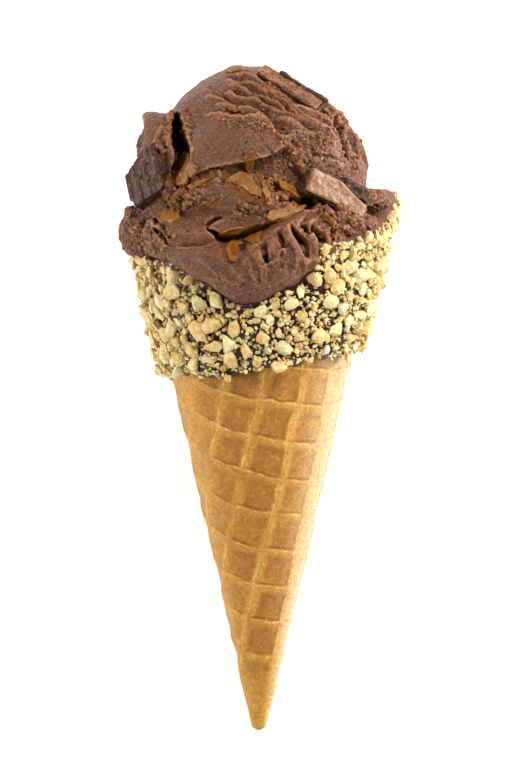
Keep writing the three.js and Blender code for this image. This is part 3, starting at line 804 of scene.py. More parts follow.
# %% Ovals on the band
BAND_BUMPS = [
    ((-7, 178.4, 13, 2.4, 12), 4.6),
    ((30.5, 167.5, 5, 4.5, -26), -2.6),
    ((-40.5, 166.5, 3, 2.4, 0), 4),
    ((8.5, 176.6, 5.2, 1.6, -28), 1.6),
    ((-1.8, 169, 7.5, 5.5, 10), 1.3),
    ((-14, 159, 8, 4, -5), 1.2),
    ((-17, 174, 4, 2, 10), -0.8),
]
BAND_CRUMBLY = [
    (36.5, 168.5, 6, 5, 0),
    (13, 180.5, 7, 2.6, 8),
    (24, 175, 10, 6, 0),
    (28, 163, 8, 7, 0),
    (-37, 160, 5.5, 9, 0),
    (-29.5, 156.5, 3.2, 5, -25),
    (5, 173, 8, 5, -30),
    (-22, 170, 7, 4, 20),
    (-2, 175, 4, 2.5, -60),
]
BAND_CALM = [(-1.8, 168.6, 7, 5, 10), (-14, 159.5, 8, 4, -5)]
BAND_SHORT_TEARS = [
    ((-3, 170, 14, 7, -20), 40, 4, 0.35, 4),
    ((-20, 171, 8, 6, 25), 30, 4, 0.4, 5),
    ((25, 168, 11, 9, -40), 40, 4, 0.6, 6),
]
print(len(BAND_BUMPS), "bumps and", len(BAND_CRUMBLY), "crumbly places on the band")

# %% Lines on the band
BAND_TEARS = [
    ([(-17.7, 177), (-12.8, 178.3), (-4.2, 179.8), (1.5, 181.5), (8, 184)], 0.5, 0.7),
    ([(-11, 172.8), (-6, 175.6), (-1, 174.4), (1.5, 170.5)], 0.7, 0.8),
    ([(3.6, 179.4), (8, 178), (12.9, 174.6), (11.6, 173)], 1.2, 1.8),
    ([(-30, 162), (-28.4, 158), (-26.4, 156)], 0.7, 1.0),
    ([(-25.6, 168), (-22, 171.8), (-15, 174.5), (-10, 175.5)], 0.5, 0.6),
]
BAND_CRACKS = [  # knots, width, depth; the first lies between the band and the tongue
    ([(-16.4, 160.2), (-13.6, 158.8), (-10.6, 157), (-5.5, 157.2), (-1, 159.2), (3.4, 160.8),
      (8, 162.8)], 1.6, 3.5),
    ([(-15.8, 160.6), (-13, 162.8), (-10.6, 163.4)], 0.8, 1.2),
    ([(8.6, 177.6), (10.8, 176.2), (12.8, 173.8)], 1.5, 3.4),
    ([(9, 169), (13, 167.8), (17, 166)], 1.6, 3),
    ([(-31.6, 160.5), (-28.4, 156.9), (-27.6, 154.8)], 0.9, 1.6),
    ([(-25.4, 178), (-24.8, 171), (-27.5, 166)], 1.2, 2.5),
    ([(-24.4, 170), (-22.8, 168.8), (-21.4, 168.2)], 1.2, 2.6),
    ([(-31.6, 163.4), (-30.8, 162), (-29.8, 161.4)], 1.0, 2.2),
    ([(3.4, 174.6), (5, 173), (5.4, 170.6)], 1.1, 2.6),
    ([(12.8, 172.4), (14.6, 169.4), (17.4, 167.2)], 1.5, 3.4),
    ([(20.4, 168.4), (23, 166), (26, 164.8)], 1.2, 2.8),
]
print(len(BAND_TEARS), "tears and", len(BAND_CRACKS), "cracks on the band")

# %% Sculpt the band
BAND_SMEARS = [
    (-23.5, 178, 3, 6, -18),
    (-18.5, 176.4, 4, 2, 0),
    (-25.4, 169.4, 4, 4.6, 0),
    (-19, 173.4, 7, 2.2, 16),
    (-27, 164.2, 4, 2, 0),
    (-15, 166.5, 5, 1.4, 20),
    (-3.5, 172, 7.5, 3.6, -32),
    (-0.8, 175.2, 5.2, 1.4, -68),
    (3.5, 171.3, 2.4, 1.4, -60),
    (9, 171, 4, 1.6, -30),
    (9, 165.2, 6, 2, 20),
    (-4.2, 159.6, 7.5, 1.8, 8),
    (-1.2, 163.8, 1.6, 0.8, 0),
    (-38.6, 164.4, 1.6, 2.4, 0),
]


def sculpt_band(piece):
    skin = Skin(piece)
    plain_skin(skin)
    bumps(skin, *BAND_BUMPS)
    for knots, rise, hollow in BAND_TEARS:
        tear(skin, knots, rise, hollow)
    for knots, width, depth in BAND_CRACKS:
        crack(skin, knots, width, depth)
    crumbly = patches_of(skin, BAND_CRUMBLY) * (1 - patches_of(skin, BAND_CALM))
    for facts in BAND_SHORT_TEARS:
        short_tears(skin, *facts)
    open_gap(skin, width=2.3, depth=10)
    crumble(skin, crumbly, 1.1, 1.1, 71)
    crumble(skin, 0.7 * patch(skin, (28, 163, 9, 8, 0)), 3.4, 2.0, 73)
    crumble(skin, 0.4 * patch(skin, (-37, 160, 6, 9, 0)), 3.4, 1.0, 74)
    air_holes(skin, skin.front, 75)
    torn_all_round(skin, 1 - skin.front, 80)
    gild(skin, BAND_SMEARS, 0.9)
    sculpt(skin)


lumps = [lump(*shape, seed + 20) for seed, shape in enumerate(BAND)]
lumps += [rim_lump(*shape, seed + 30) for seed, shape in enumerate(RIM_LUMPS)]
band_lumps = join("band_lumps", lumps)
band_front, band_back = front_and_back(band_lumps, "band", fine=0.34, coarse=0.62, low=147)
sculpt_band(band_front)
sculpt_band(band_back)

# %% [markdown]
# ## The tongue
# Ice cream that was pushed over the rim hangs down in front as a smooth tongue. A sphere is bent
# round the axis so that its left and right follow the turn, and its top and bottom follow two
# outlines. On the right the spade has folded it into upright pleats with deep gaps between them.

# %% Outlines of the tongue
TONGUE_TURNS = (-54, 47)
TONGUE_LOW = [  # turn, height
    (-54, 155), (-44, 151.6), (-37, 149.2), (-31, 147.2), (-24, 145.2), (-19, 143), (-15, 141.4),
    (-11, 140.4), (-6, 140), (-1, 140.2), (4, 141), (8, 142.6), (13, 143.9), (18, 145.4), (24, 148.2),
    (28, 150.2), (35, 152.4), (47, 155.4),
]
TONGUE_HIGH = [
    (-54, 158.4), (-45, 157.6), (-36, 157), (-23, 157.2), (-14, 157.4), (-8, 157.6),
    (-2, 159.4), (4, 161.6), (10, 163.6), (16, 165.6), (22, 166.6), (30, 165.8), (38, 164), (47, 160),
]
TONGUE_MIDDLE = 31.5  # distance of its middle from the axis
TONGUE_THICK = 9.6
print(f"the tongue hangs {TONGUE_LOW[0][1] - min(h for _, h in TONGUE_LOW):.1f} mm down in front")

# %% Bend a sphere to the tongue's shape


def tongue_shape(piece):
    """Where the points of a sphere of radius 1 go, so that it fills the tongue's outlines."""
    x, y, z = points_of(piece).T
    low_turn, high_turn = TONGUE_TURNS
    turn = (low_turn + high_turn) / 2 + x * (high_turn - low_turn) / 2
    low = np.interp(turn, *zip(*TONGUE_LOW))
    high = np.interp(turn, *zip(*TONGUE_HIGH))
    ring = np.sqrt(np.clip(1 - x * x, 1e-6, 1))
    height = (low + high) / 2 + (high - low) / 2 * np.sign(y) * np.abs(y / ring) ** 0.8
    distance = TONGUE_MIDDLE + TONGUE_THICK * ring**0.55 * np.sign(z) * np.abs(z / ring) ** 0.9
    return round_axis(distance, turn, height)


deselect()
bpy.ops.mesh.primitive_uv_sphere_add(segments=96, ring_count=64, rotation=(0, math.pi / 2, 0))
tongue_start = fresh("scoop_tongue")
bpy.ops.object.transform_apply()
move_points(tongue_start, tongue_shape(tongue_start))
scoop_tongue = one_skin(tongue_start, cell=0.27, melt=12)
report(scoop_tongue)

# %% Lines and ovals on the tongue
TONGUE_GAPS = [  # knots, width, depth
    ([(9.4, 161.8), (11.2, 159.4), (13.2, 156.9), (14.4, 154.2), (15.8, 150.2)], 1.5, 5.0),
    ([(16.4, 162.6), (18.3, 159.6), (19.9, 156.9), (20.2, 154), (19.4, 149.8)], 1.5, 5.0),
    ([(22.4, 162.5), (23.6, 158.4), (23.8, 153.6)], 1.2, 4.2),
    ([(12.6, 162.8), (14.4, 161.2), (16.6, 158.8)], 0.9, 3.0),
    ([(0.2, 156.2), (1.2, 154.6), (2.0, 152.2), (3, 149.4)], 1.0, 2.4),
    ([(5.4, 160), (6.8, 157), (7.6, 153.8)], 1.0, 1.0),
]
FLUTES = [  # shallow furrows: knots, width, depth
    ([(7, 153.4), (7.2, 150), (6.4, 147.5)], 1.4, 0.5),
    ([(9, 156), (9.6, 151), (9, 146.6)], 1.6, 0.6),
    ([(3.2, 150), (3.6, 146.5), (2.6, 143.6)], 1.4, 0.4),
    ([(-23, 151), (-18, 148.4), (-12.5, 145)], 1.6, 0.35),
    ([(-18, 152.4), (-12, 148.6), (-6, 143.6)], 2.0, 0.4),
    ([(-11, 153), (-6.4, 149), (-2, 143.4)], 1.8, 0.35),
    ([(-3, 152.6), (-1, 148.5), (0.2, 142.8)], 1.3, 0.45),
    ([(12.6, 150.4), (12.6, 147.8), (10.8, 145.6)], 1.2, 0.5),
    ([(16.6, 151.6), (16, 149.4), (14.6, 147.4)], 1.0, 0.5),
]
TONGUE_HOLES = [((1.2, 155, 1.3, 1.4, 0), -2.6), ((-5.8, 155.4, 1.5, 2.2, 30), -2.4)]
PLEATS = [
    ((10.4, 156, 1.3, 4.4, 25), 0.8),
    ((16.8, 156.6, 1.4, 4.6, 12), 1.0),
    ((21.9, 157.6, 1.1, 4.4, 4), 0.9),
]
TONGUE_SMEARS = [(-8.3, 153.4, 3, 2.4, 50), (-2, 156.6, 3.4, 1.2, 25), (-12, 156.4, 4, 0.8, 10)]
print(len(PLEATS), "pleats,", len(TONGUE_GAPS), "gaps and", len(FLUTES), "furrows on the tongue")

# %% Sculpt the tongue
skin = Skin(scoop_tongue)
plain_skin(skin)
for knots, width, depth in TONGUE_GAPS:
    crack(skin, knots, width, depth, rag=0.2, shoulder=1.5)
bumps(skin, *TONGUE_HOLES)
for knots, width, depth in FLUTES:
    crack(skin, knots, width, depth, rag=0.12)
bumps(skin, *PLEATS)
short_tears(skin, (-2, 150, 20, 4, 8), 26, 5, 0.12, 94)
tear(skin, [(-27.5, 155), (-23, 153.8), (-17, 154.2), (-11, 155.8)], 0.8, 1.1, rag=0.12, hang=0.3)
crumble(skin, patch(skin, (23.5, 157, 4, 7, 0)), 1.2, 0.9, 91)
crumble(skin, 0.4 * patch(skin, (-28, 152, 3, 4, -30)), 1.2, 0.8, 92)
crumble(skin, 0.7 * patch(skin, (0, 142.6, 14, 1.6, 0)), 0.9, 0.5, 95)
air_holes(skin, skin.front, 93)
gild(skin, TONGUE_SMEARS, 0.9)
sculpt(skin)

# %% [markdown]
# ## Crumbs
# Where ice cream tears, crumbs of it stay on the surface. They are too loose to be part of the
# skin, so they are small rough balls laid on it: one is modelled, and the copies are joined. Each
# has only 20 faces, because there are many of them.

# %% Ways to lay many small things on the scoop
scoop_parts = [dome_front, dome_back, side_lump, band_front, band_back, scoop_tongue]


def tree_of(piece):
    piece.data.calc_loop_triangles()
    corners = [tuple(face.vertices) for face in piece.data.loop_triangles]
    return BVHTree.FromPolygons([v.co.copy() for v in piece.data.vertices], corners)


scoop_trees = [tree_of(piece) for piece in scoop_parts]


def hit(trees, start, way):
    """The nearest surface that a line meets: its place and its normal."""
    found = None
    for tree in trees:
        place, normal, _, distance = tree.ray_cast(start, way)
        if place is not None and (found is None or distance < found[2]):
            found = (place, normal, distance)
    return found


# %% Copies of a small shape


def many(name, shapes, placements, tones):
    """Copies of small shapes as one mesh. A placement is a shape's number and a matrix."""
    points, faces, tone_of, start = [], [], [], 0
    for (number, matrix), tone in zip(placements, tones):
        shape_points, shape_faces = shapes[number]
        moved = shape_points @ np.array(matrix.to_3x3()).T + np.array(matrix.translation)
        points.append(moved)
        faces.extend([tuple(start + i for i in face) for face in shape_faces])
        tone_of.append(np.full(len(moved), tone))
        start += len(moved)
    mesh = bpy.data.meshes.new(name)
    mesh.from_pydata(np.concatenate(points).tolist(), [], faces)
    piece = bpy.data.objects.new(name, mesh)
    bpy.context.scene.collection.objects.link(piece)
    paint(piece, "tone", np.concatenate(tone_of))
    print(name, len(placements), "copies,", triangles(piece), "triangles")
    return piece


def shape_of(piece):
    """A small piece as bare points and faces, ready to be copied."""
    shape = (points_of(piece), [tuple(face.vertices) for face in piece.data.polygons])
    bpy.data.objects.remove(piece)
    return shape


def stand_on(place, normal, size, twist):
    """The matrix that sets a shape of radius 1 on a surface."""
    turn = normal.to_track_quat("Z", "Y").to_matrix().to_4x4() @ Matrix.Rotation(twist, 4, "Z")
    return Matrix.Translation(place) @ turn @ Matrix.Diagonal((*size, 1))


# %% Make the crumbs
CRUMB_ZONES = [  # oval, how many crumbs
    ((-3, 191.5, 9, 1.8, -8), 90),
    ((14, 185, 11, 4.5, 20), 170),
    ((23, 189, 5, 7, -20), 60),
    ((2, 198, 14, 6, -28), 60),
    ((12, 180.5, 7, 2.5, 8), 110),
    ((25, 177, 9, 5, 0), 90),
    ((28, 162, 8, 7, 0), 160),
    ((-37, 161, 5, 9, 0), 120),
    ((-29, 156, 3, 5, -25), 50),
    ((5, 173, 7, 5, -30), 100),
    ((-22, 190, 3, 7, 0), 70),
    ((-22, 171, 7, 4, 20), 70),
    ((-26, 164, 6, 3, 0), 40),
    ((22, 156, 4, 6, 0), 60),
]
CRUMB_KINDS = 6
ANY_TURN = (0, 6.3)
draw = random.Random(3)


def crumb_shape():
    """A ball of 20 faces, each of its corners moved in or out."""
    deselect()
    bpy.ops.mesh.primitive_ico_sphere_add(subdivisions=1, radius=1)
    piece = fresh("crumb")
    points = points_of(piece)
    jitter = np.array([[draw.uniform(0.55, 1.25)] for _ in points])
    move_points(piece, points * jitter)
    return shape_of(piece)


crumb_shapes = [crumb_shape() for _ in range(CRUMB_KINDS)]
placements, tones = [], []
for zone, count in CRUMB_ZONES:
    for _ in range(count):
        x, y = zone[2] * draw.gauss(0, 0.55), zone[3] * draw.gauss(0, 0.55)
        found = hit(scoop_trees, *ray_to(*spot(zone, x, y)))
        size = 0.22 + 0.45 * draw.random() ** 2.5
        if found is None:
            continue
        place = found[0] + found[1] * size * 0.1
        sizes = [size * draw.uniform(0.6, 1.6) for _ in range(3)]
        kind = draw.randrange(CRUMB_KINDS)
        matrix = stand_on(place, found[1], sizes, draw.uniform(*ANY_TURN))
        placements.append((kind, matrix))
        tones.append(draw.random())
scoop_crumbs = many("scoop_crumbs", crumb_shapes, placements, tones)

# %% [markdown]
# ## Flakes of peanut butter
# Thin golden shards lie in the smears, some flat and some standing out. Each broke along straight
# lines, so it is given by the corners of its outline. A circle with as many corners is moved onto
# them, divided, laid on the scoop along the line of sight, and made thick by Solidify.

# %% Outlines of the flakes
FLAKES = [  # how far it stands out, and the corners of its outline
    (0.9, [(-21.8, 183.2), (-20.6, 181.9), (-20.3, 179), (-19.5, 178.6), (-18.3, 177.3), (-20, 175.2),
           (-20.9, 176.6), (-21.6, 173.6), (-23.7, 173), (-26.2, 174), (-26.4, 175.7), (-25.3, 179),
           (-24.5, 181.1), (-23.3, 181.9)]),
    (0.5, [(-20, 179.6), (-18.2, 178.8), (-17.8, 177), (-19.6, 175.2), (-20.6, 177)]),
    (0.8, [(-4.2, 181.6), (-1.6, 182.2), (-1.1, 179.9), (-2.2, 177), (-3.6, 177.6), (-3.9, 179.9)]),
    (0.3, [(-10.2, 174.7), (-5.1, 177), (-2.2, 175.9), (-1.1, 173.5), (1.2, 171.3), (0.7, 169.5),
           (-2.2, 170.7), (-5.1, 172.4), (-7.9, 173.8)]),
    (0.7, [(1.1, 174), (2.2, 172.8), (3.6, 169.8), (2.4, 169), (1.1, 171.6)]),
    (0.9, [(5.8, 174.7), (8.4, 173.8), (12.7, 170.7), (13.9, 169.5), (11.5, 169.5), (8.7, 171.3),
           (6.4, 172.4)]),
    (1.0, [(2.4, 163.2), (3.5, 165.5), (7.6, 166.1), (10.4, 168.4), (11.8, 166.7), (14.2, 166.9),
           (13.3, 165.5), (10.4, 164.4), (9, 162.4), (4.1, 162.1)]),
    (0.4, [(-12, 158.6), (-7.4, 160.1), (-1.6, 160.9), (5.2, 162.4), (4.1, 161.2), (-1.6, 159.2),
           (-7.4, 157.5), (-10.8, 157.5)]),
    (0.5, [(-10, 154), (-7.9, 156.9), (-6.5, 157.2), (-6.5, 154.6), (-5.4, 152.9), (-6.8, 150.3),
           (-8.5, 150.6)]),
    (0.6, [(-4.5, 156.3), (-1.6, 158.1), (1, 159.2), (0.4, 156.9), (-1.6, 155.8)]),
    (1.2, [(18.8, 164.4), (20.8, 164.1), (22.8, 162.4), (22.2, 161.5), (19.6, 162.7)]),
    (0.5, [(-9.4, 196.5), (-7.4, 196.8), (-5.9, 195.4), (-6.5, 194.9), (-8.5, 195.7)]),
    (0.2, [(-29.8, 164.4), (-27.4, 165.5), (-24, 165.5), (-23.5, 163.2), (-26.3, 161.5),
           (-29.2, 162.7)]),
    (0.3, [(-27.4, 169.5), (-24.6, 171.3), (-22.9, 173), (-23.5, 170.7), (-24.6, 167.8),
           (-26.9, 167.2)]),
    (0.5, [(-22.9, 167.8), (-19.4, 168.4), (-20.2, 167.1), (-22.3, 166.7)]),
    (0.3, [(-9.8, 207), (-7.6, 208.7), (-5.5, 208.2), (-6.1, 207.3), (-8.5, 206.7)]),
    (0.3, [(-21.4, 172.6), (-17, 175), (-14.2, 175), (-16.4, 173.8), (-20, 171.8)]),
]
FLAKE_THICKNESS = 0.7
FLAKE_SUNK = 0.2
FLAKE_NEAR = 25  # how far before the axis a corner lies where there is no ice cream behind it
FLAKE_CUTS = 4
FLAKE_CREASE = math.radians(30)
print(len(FLAKES), "flakes with", sum(len(corners) for _, corners in FLAKES), "corners")
FLAKE_FLATNESS = 0.6  # 1 keeps a flake flat, 0 lets it follow every bump


# %% Lay a flake on the scoop


def flake(number, out, corners):
    """One shard, laid on what is below it."""
    corners = np.array(corners)
    deselect()
    bpy.ops.mesh.primitive_circle_add(vertices=len(corners), radius=1, fill_type="TRIFAN")
    piece = fresh(f"flake_{number}")
    points = points_of(piece)
    on_rim = np.hypot(points[:, 0], points[:, 1]) > 0.5
    step = np.rint(np.arctan2(points[:, 0], points[:, 1]) / (2 * math.pi) * len(corners)).astype(int)
    points[:, :2] = np.where(on_rim[:, None], corners[step % len(corners)], corners.mean(axis=0))
    move_points(piece, points)
    bpy.ops.object.mode_set(mode="EDIT")
    bpy.ops.mesh.select_all(action="SELECT")
    bpy.ops.mesh.subdivide(number_cuts=FLAKE_CUTS)
    bpy.ops.object.mode_set(mode="OBJECT")
    points = points_of(piece)
    points[:, :2] += 0.3 * np.stack([rough(points, 1.3, 8), rough(points, 1.3, 9)], axis=1)
    placed = []
    for x, y in points[:, :2]:
        start, way = ray_to(x, y)
        found = hit(scoop_trees, start, way)
        beyond = start + way * (VIEW_DISTANCE - FLAKE_NEAR)
        placed.append(list(found[0] - way * (out - FLAKE_SUNK) if found else beyond))
    placed = np.array(placed)
    level = np.column_stack([placed[:, :2], np.ones(len(placed))])
    flat = level @ np.linalg.lstsq(level, placed[:, 2], rcond=None)[0]
    placed[:, 2] += FLAKE_FLATNESS * (flat - placed[:, 2]) + 0.3 * waves(points, 2.5, 10)
    move_points(piece, placed)
    finish_with(piece, "SOLIDIFY", thickness=FLAKE_THICKNESS, offset=0)
    points = points_of(piece)
    uneven = np.stack([waves(points, 0.8, 5 + k) for k in range(3)], axis=1)
    move_points(piece, points + 0.1 * uneven)
    return piece


flakes = join("peanut_flakes", [flake(i, *facts) for i, facts in enumerate(FLAKES)])
choose(flakes)
bpy.ops.object.shade_smooth_by_angle(angle=FLAKE_CREASE)
report(flakes)

# %% [markdown]
# ## The chocolate dip
# The mouth of the cone was dipped in melted chocolate, which set in a thin uneven coat over the
# rim. Solidify could thicken a copy of the wall, but then it would be as thick at its edge as at
# the rim. So it starts as a flat grid. Its rows become the places of a profile, from inside the
# lower edge, up the outside and over the rim, and its columns go once round the axis.

# %% The rolled cone's sizes
HALF_ANGLE = math.radians(12.8)  # between the axis and the slope
TIP_Y, RIM_Y = 9.6, 154  # heights of the blunt tip and of the rim
WALL = 2.4
GAP = 0.3  # between the wall and the dip, so that their faces never meet
DIP = 2.2  # from the wall to the outside of the dip
PLY, PLY_GROWTH = 1.5, 0.05  # the sheet's thickness, and its share of the slant near the tip


def cone_radius(height, turn):
    """The outer radius. It grows round the roll, which leaves a step at the sheet's free edge."""
    slant = height / math.cos(HALF_ANGLE)
    step = np.minimum(PLY, PLY_GROWTH * slant)
    return slant * math.sin(HALF_ANGLE) + step * turn / (2 * np.pi)


def rim_height(turn):
    """The rim's height, with a peak where the sheet's corner ends."""
    peak = 14 * np.exp(-(((turn - math.radians(105)) / math.radians(38)) ** 2))
    return RIM_Y + 3 * np.sin(turn) + 0.5 * np.sin(3 * turn + 1) + peak


def dip_edge(turn):
    """The height of the dip's wavy lower edge."""
    wave = 0.6 * np.sin(5 * turn) + 0.4 * np.sin(9 * turn + 2) + 0.25 * np.sin(23 * turn)
    return 122 + 4.6 * np.sin(turn - math.radians(25)) + wave


# %% Roll a grid round the axis


def rolled_grid(name, columns, profile):
    """A flat grid, rolled round the axis. profile(turns) gives each row's radii and heights."""
    turns = np.linspace(-np.pi, np.pi, columns + 1)
    radii, heights = (np.column_stack([rows, rows[:, :1]]) for rows in profile(turns))
    turns = np.append(turns, -np.pi)
    rows = len(radii)
    deselect()
    bpy.ops.mesh.primitive_grid_add(x_subdivisions=columns + 1, y_subdivisions=rows - 1, size=2)
    piece = fresh(name)
    flat = points_of(piece)
    column = np.rint((flat[:, 0] + 1) / 2 * (columns + 1)).astype(int)
    row = np.rint((flat[:, 1] + 1) / 2 * (rows - 1)).astype(int)
    radius, height, turn = radii[row, column], heights[row, column], turns[column]
    move_points(piece, np.stack([radius * np.sin(turn), height, radius * np.cos(turn)], axis=1))
    bpy.ops.object.mode_set(mode="EDIT")
    bpy.ops.mesh.select_all(action="SELECT")
    bpy.ops.mesh.remove_doubles(threshold=0.002)
    bpy.ops.mesh.normals_make_consistent(inside=False)
    bpy.ops.object.mode_set(mode="OBJECT")
    bpy.ops.object.shade_smooth()
    return piece


# %% Make the dip
DIP_COLUMNS = 300
DIP_ROWS = 60
DIP_EDGE = 0.6  # how thick it is at its lower edge
LIP_OUTSIDE = ((0.2, -0.6), (0.1, 0.4), (-0.5, 1.3), (-1.6, 1.8))  # past the dip, above the rim
LIP_INSIDE = ((1.0, 1.8), (0.2, 1.4), (-GAP, 1.0), (-GAP, GAP))  # past the inner wall, above it


def dip_profile(turns):
    """Up the outside of the dip, over the rim and down again between the dip and the wall."""
    edge, rim = dip_edge(turns), rim_height(turns)
    radii, heights = [], []

    def place(radius, height):
        radii.append(radius)
        heights.append(height)

    place(cone_radius(edge, turns) + GAP, edge)
    for share in np.linspace(0, 1, DIP_ROWS):
        height = edge + 0.1 + (rim - 1.2 - edge) * share
        thickness = DIP_EDGE + (DIP - DIP_EDGE) * min(1, (share / 0.07) ** 0.6)
        place(cone_radius(height, turns) + thickness, height)
    for past, above in LIP_OUTSIDE:
        place(cone_radius(rim, turns) + DIP + past, rim + above)
    for past, above in LIP_INSIDE:
        place(cone_radius(rim, 0) - WALL + past, rim + above)
    place(cone_radius(rim, turns) + GAP, rim + GAP)
    place(cone_radius(edge, turns) + GAP, edge)
    return np.array(radii), np.array(heights)


chocolate_dip = rolled_grid("chocolate_dip", DIP_COLUMNS, dip_profile)
points, outward = points_of(chocolate_dip), normals_of(chocolate_dip)
outer = np.hypot(points[:, 0], points[:, 2]) > cone_radius(points[:, 1], 0) + 1
rims = rim_height(np.arctan2(points[:, 0], points[:, 2]))
thin = smooth_step(points[:, 1] - rims + 1.5 * waves(points, 4, 6), -7, -2)
uneven = 0.3 * rough(points, 4, 5) * outer + 0.5 * thin * outer * rough(points, 3, 8)
move_points(chocolate_dip, points + outward * uneven[:, None])
# near the rim: the coat is rougher there, and the dip material paints it lighter, partly for thinner
# chocolate and partly as a painted highlight
paint(chocolate_dip, "thin", thin)
report(chocolate_dip)

# %% [markdown]
# ## Chopped peanuts
# The nuts are cut by a blade, so each piece has flat broken faces between rounded ones. A cube is
# subdivided once, rounded, and its points are pushed back onto a few random planes. Fourteen such
# pieces are copied over the dip: large ones first, then smaller ones into the spaces they leave,
# and crumbs everywhere. No nut goes where ice cream covers the dip.

# %% Shapes of the nuts
NUT_KINDS = 14
NUT_CRUMB_KINDS = 8
NUT_FACETS = 5
NUT_SIZES = [  # how many to try, smallest and largest radius, room each keeps to its neighbours
    (430, 1.6, 2.5, 0.96),
    (1500, 0.95, 1.5, 0.92),
    (5000, 0.4, 0.8, 0.85),
]
NUT_CRUMBS = 5200
NUT_CREASE = math.radians(42)
draw = random.Random(12)


def nut_shape():
    """A rounded cube with a few flat cuts, about 1 in radius."""
    deselect()
    bpy.ops.mesh.primitive_cube_add(size=1.5)
    piece = fresh("nut")
    bpy.ops.object.mode_set(mode="EDIT")
    bpy.ops.mesh.select_all(action="SELECT")
    bpy.ops.mesh.subdivide(number_cuts=1, smoothness=0.9)
    bpy.ops.object.mode_set(mode="OBJECT")
    points = points_of(piece)
    points *= np.array([[draw.uniform(0.74, 1.18)] for _ in points])
    for _ in range(NUT_FACETS):
        way = np.array([draw.gauss(0, 1) for _ in range(3)])
        way /= np.linalg.norm(way)
        beyond = np.maximum(points @ way - draw.uniform(0.55, 0.85), 0)
        points -= beyond[:, None] * way
    points *= np.array([[draw.uniform(0.9, 1.1)] for _ in points])
    points *= np.array([draw.uniform(0.95, 1.35), draw.uniform(0.75, 1.05), draw.uniform(0.6, 0.9)])
    move_points(piece, points)
    return shape_of(piece)


nut_shapes = [nut_shape() for _ in range(NUT_KINDS)]
crumb_shapes = [crumb_shape() for _ in range(NUT_CRUMB_KINDS)]
print(len(nut_shapes), "kinds of nut and", len(crumb_shapes), "of crumb")

# %% Places on the dip


def dip_place(turn, height):
    """A place on the dip and the way out of it."""
    radius = float(cone_radius(height, turn)) + DIP
    place = Vector((radius * math.sin(turn), height, radius * math.cos(turn)))
    out = Vector((math.sin(turn), -math.tan(HALF_ANGLE), math.cos(turn))).normalized()
    return place, out


CLEAR_AIR = 30  # a look back at the dip starts so far out
NEIGHBOURHOOD, FEW = 2.2, 4  # so far round a place, so many of 7 looks may meet ice cream


def covered(place, out, size):
    """Whether ice cream lies over a place on the dip, or close beside it."""
    side = out.orthogonal().normalized()
    other = out.cross(side)
    steps = [(0, 0)] + [(math.cos(k * math.pi / 3), math.sin(k * math.pi / 3)) for k in range(6)]
    for reach, allowed in ((0.5 * size, 0), (NEIGHBOURHOOD, FEW)):
        hits = 0
        for across, up in steps:
            start = place + (side * across + other * up) * reach + out * CLEAR_AIR
            found = hit(scoop_trees, start, -out)
            hits += found is not None and (found[0] - place).dot(out) > -0.3 * size
        if hits > allowed:
            return True
    return False


taken = {}
BOX = 5  # side of a box of the store of nuts, larger than two nuts' radii


def room_for(place, radius, keep):
    """Whether no nut is too close. Nuts are kept in boxes, so that only near ones are compared."""
    box = tuple(int(v // BOX) for v in place)
    for step in itertools.product((-1, 0, 1), repeat=3):
        for other, other_radius in taken.get(tuple(b + s for b, s in zip(box, step)), ()):
            if (other - place).length < keep * (radius + other_radius):
                return False
    taken.setdefault(box, []).append((place, radius))
    return True


def dip_spot():
    """A random place on the dip: its turn, its height, and its share of the way up."""
    turn = draw.uniform(-math.pi, math.pi)
    low, high = float(dip_edge(turn)), float(rim_height(turn))
    share = draw.random()
    height = low + 0.2 + (high + 1.0 - low) * share
    return turn, height, share


# %% Strew the nuts
BARE_SIDE, BARE_HALF = math.radians(100), math.radians(25)  # the rim's nuts are sparser here
BARE_SHARE = 0.25  # of the nuts that would lie there
RIM_SHARE, EDGE_SHARE = 0.95, 0.1  # of the way up the dip
placements, tones = [], []
for tries, smallest, largest, keep in NUT_SIZES:
    for _ in range(tries):
        turn, height, share = dip_spot()
        radius = draw.uniform(smallest, largest)
        bare = share > RIM_SHARE and abs(turn - BARE_SIDE) < BARE_HALF
        if bare and draw.random() < BARE_SHARE:
            continue
        place, out = dip_place(turn, height)
        if covered(place, out, radius) or not room_for(place, radius, keep):
            continue
        if share < EDGE_SHARE:
            radius *= 0.8
        tilt = Vector((draw.gauss(0, 0.4), draw.gauss(0, 0.4), draw.gauss(0, 0.4)))
        sizes = [radius * draw.uniform(0.9, 1.12) for _ in range(3)]
        lift = radius * draw.uniform(0.25, 0.6)
        twist = draw.uniform(*ANY_TURN)
        matrix = stand_on(place + out * lift, (out + tilt).normalized(), sizes, twist)
        placements.append((draw.randrange(NUT_KINDS), matrix))
        tones.append(draw.random())
chopped_nuts = many("chopped_nuts", nut_shapes, placements, tones)
choose(chopped_nuts)
bpy.ops.object.shade_smooth_by_angle(angle=NUT_CREASE)

# %% Strew the crumbs of nut
placements, tones = [], []
for _ in range(NUT_CRUMBS):
    turn, height, share = dip_spot()
    place, out = dip_place(turn, height)
    if covered(place, out, size=0.5):
        continue
    size = 0.2 + 0.45 * draw.random() ** 2
    sizes = [size * draw.uniform(0.7, 1.4) for _ in range(3)]
    place = place + out * size * draw.uniform(0.2, 2.6)
    matrix = stand_on(place, out, sizes, draw.uniform(*ANY_TURN))
    placements.append((draw.randrange(NUT_CRUMB_KINDS), matrix))
    tones.append(draw.random())
nut_crumbs = many("nut_crumbs", crumb_shapes, placements, tones)

# %% [markdown]
# ## The waffle cone
# The batter was baked flat between two plates that press a square grid of pockets into it, and
# rolled while it was hot. A bump in the material could fake the grid, but the pockets catch the
# light and show at the outline. So the grid is rolled the same way here: for each point of the
# cone the place on the flat sheet is worked out, and the pocket there is pressed in along the
# normal. The lower wall of a pocket is steep and the upper one long and soft.

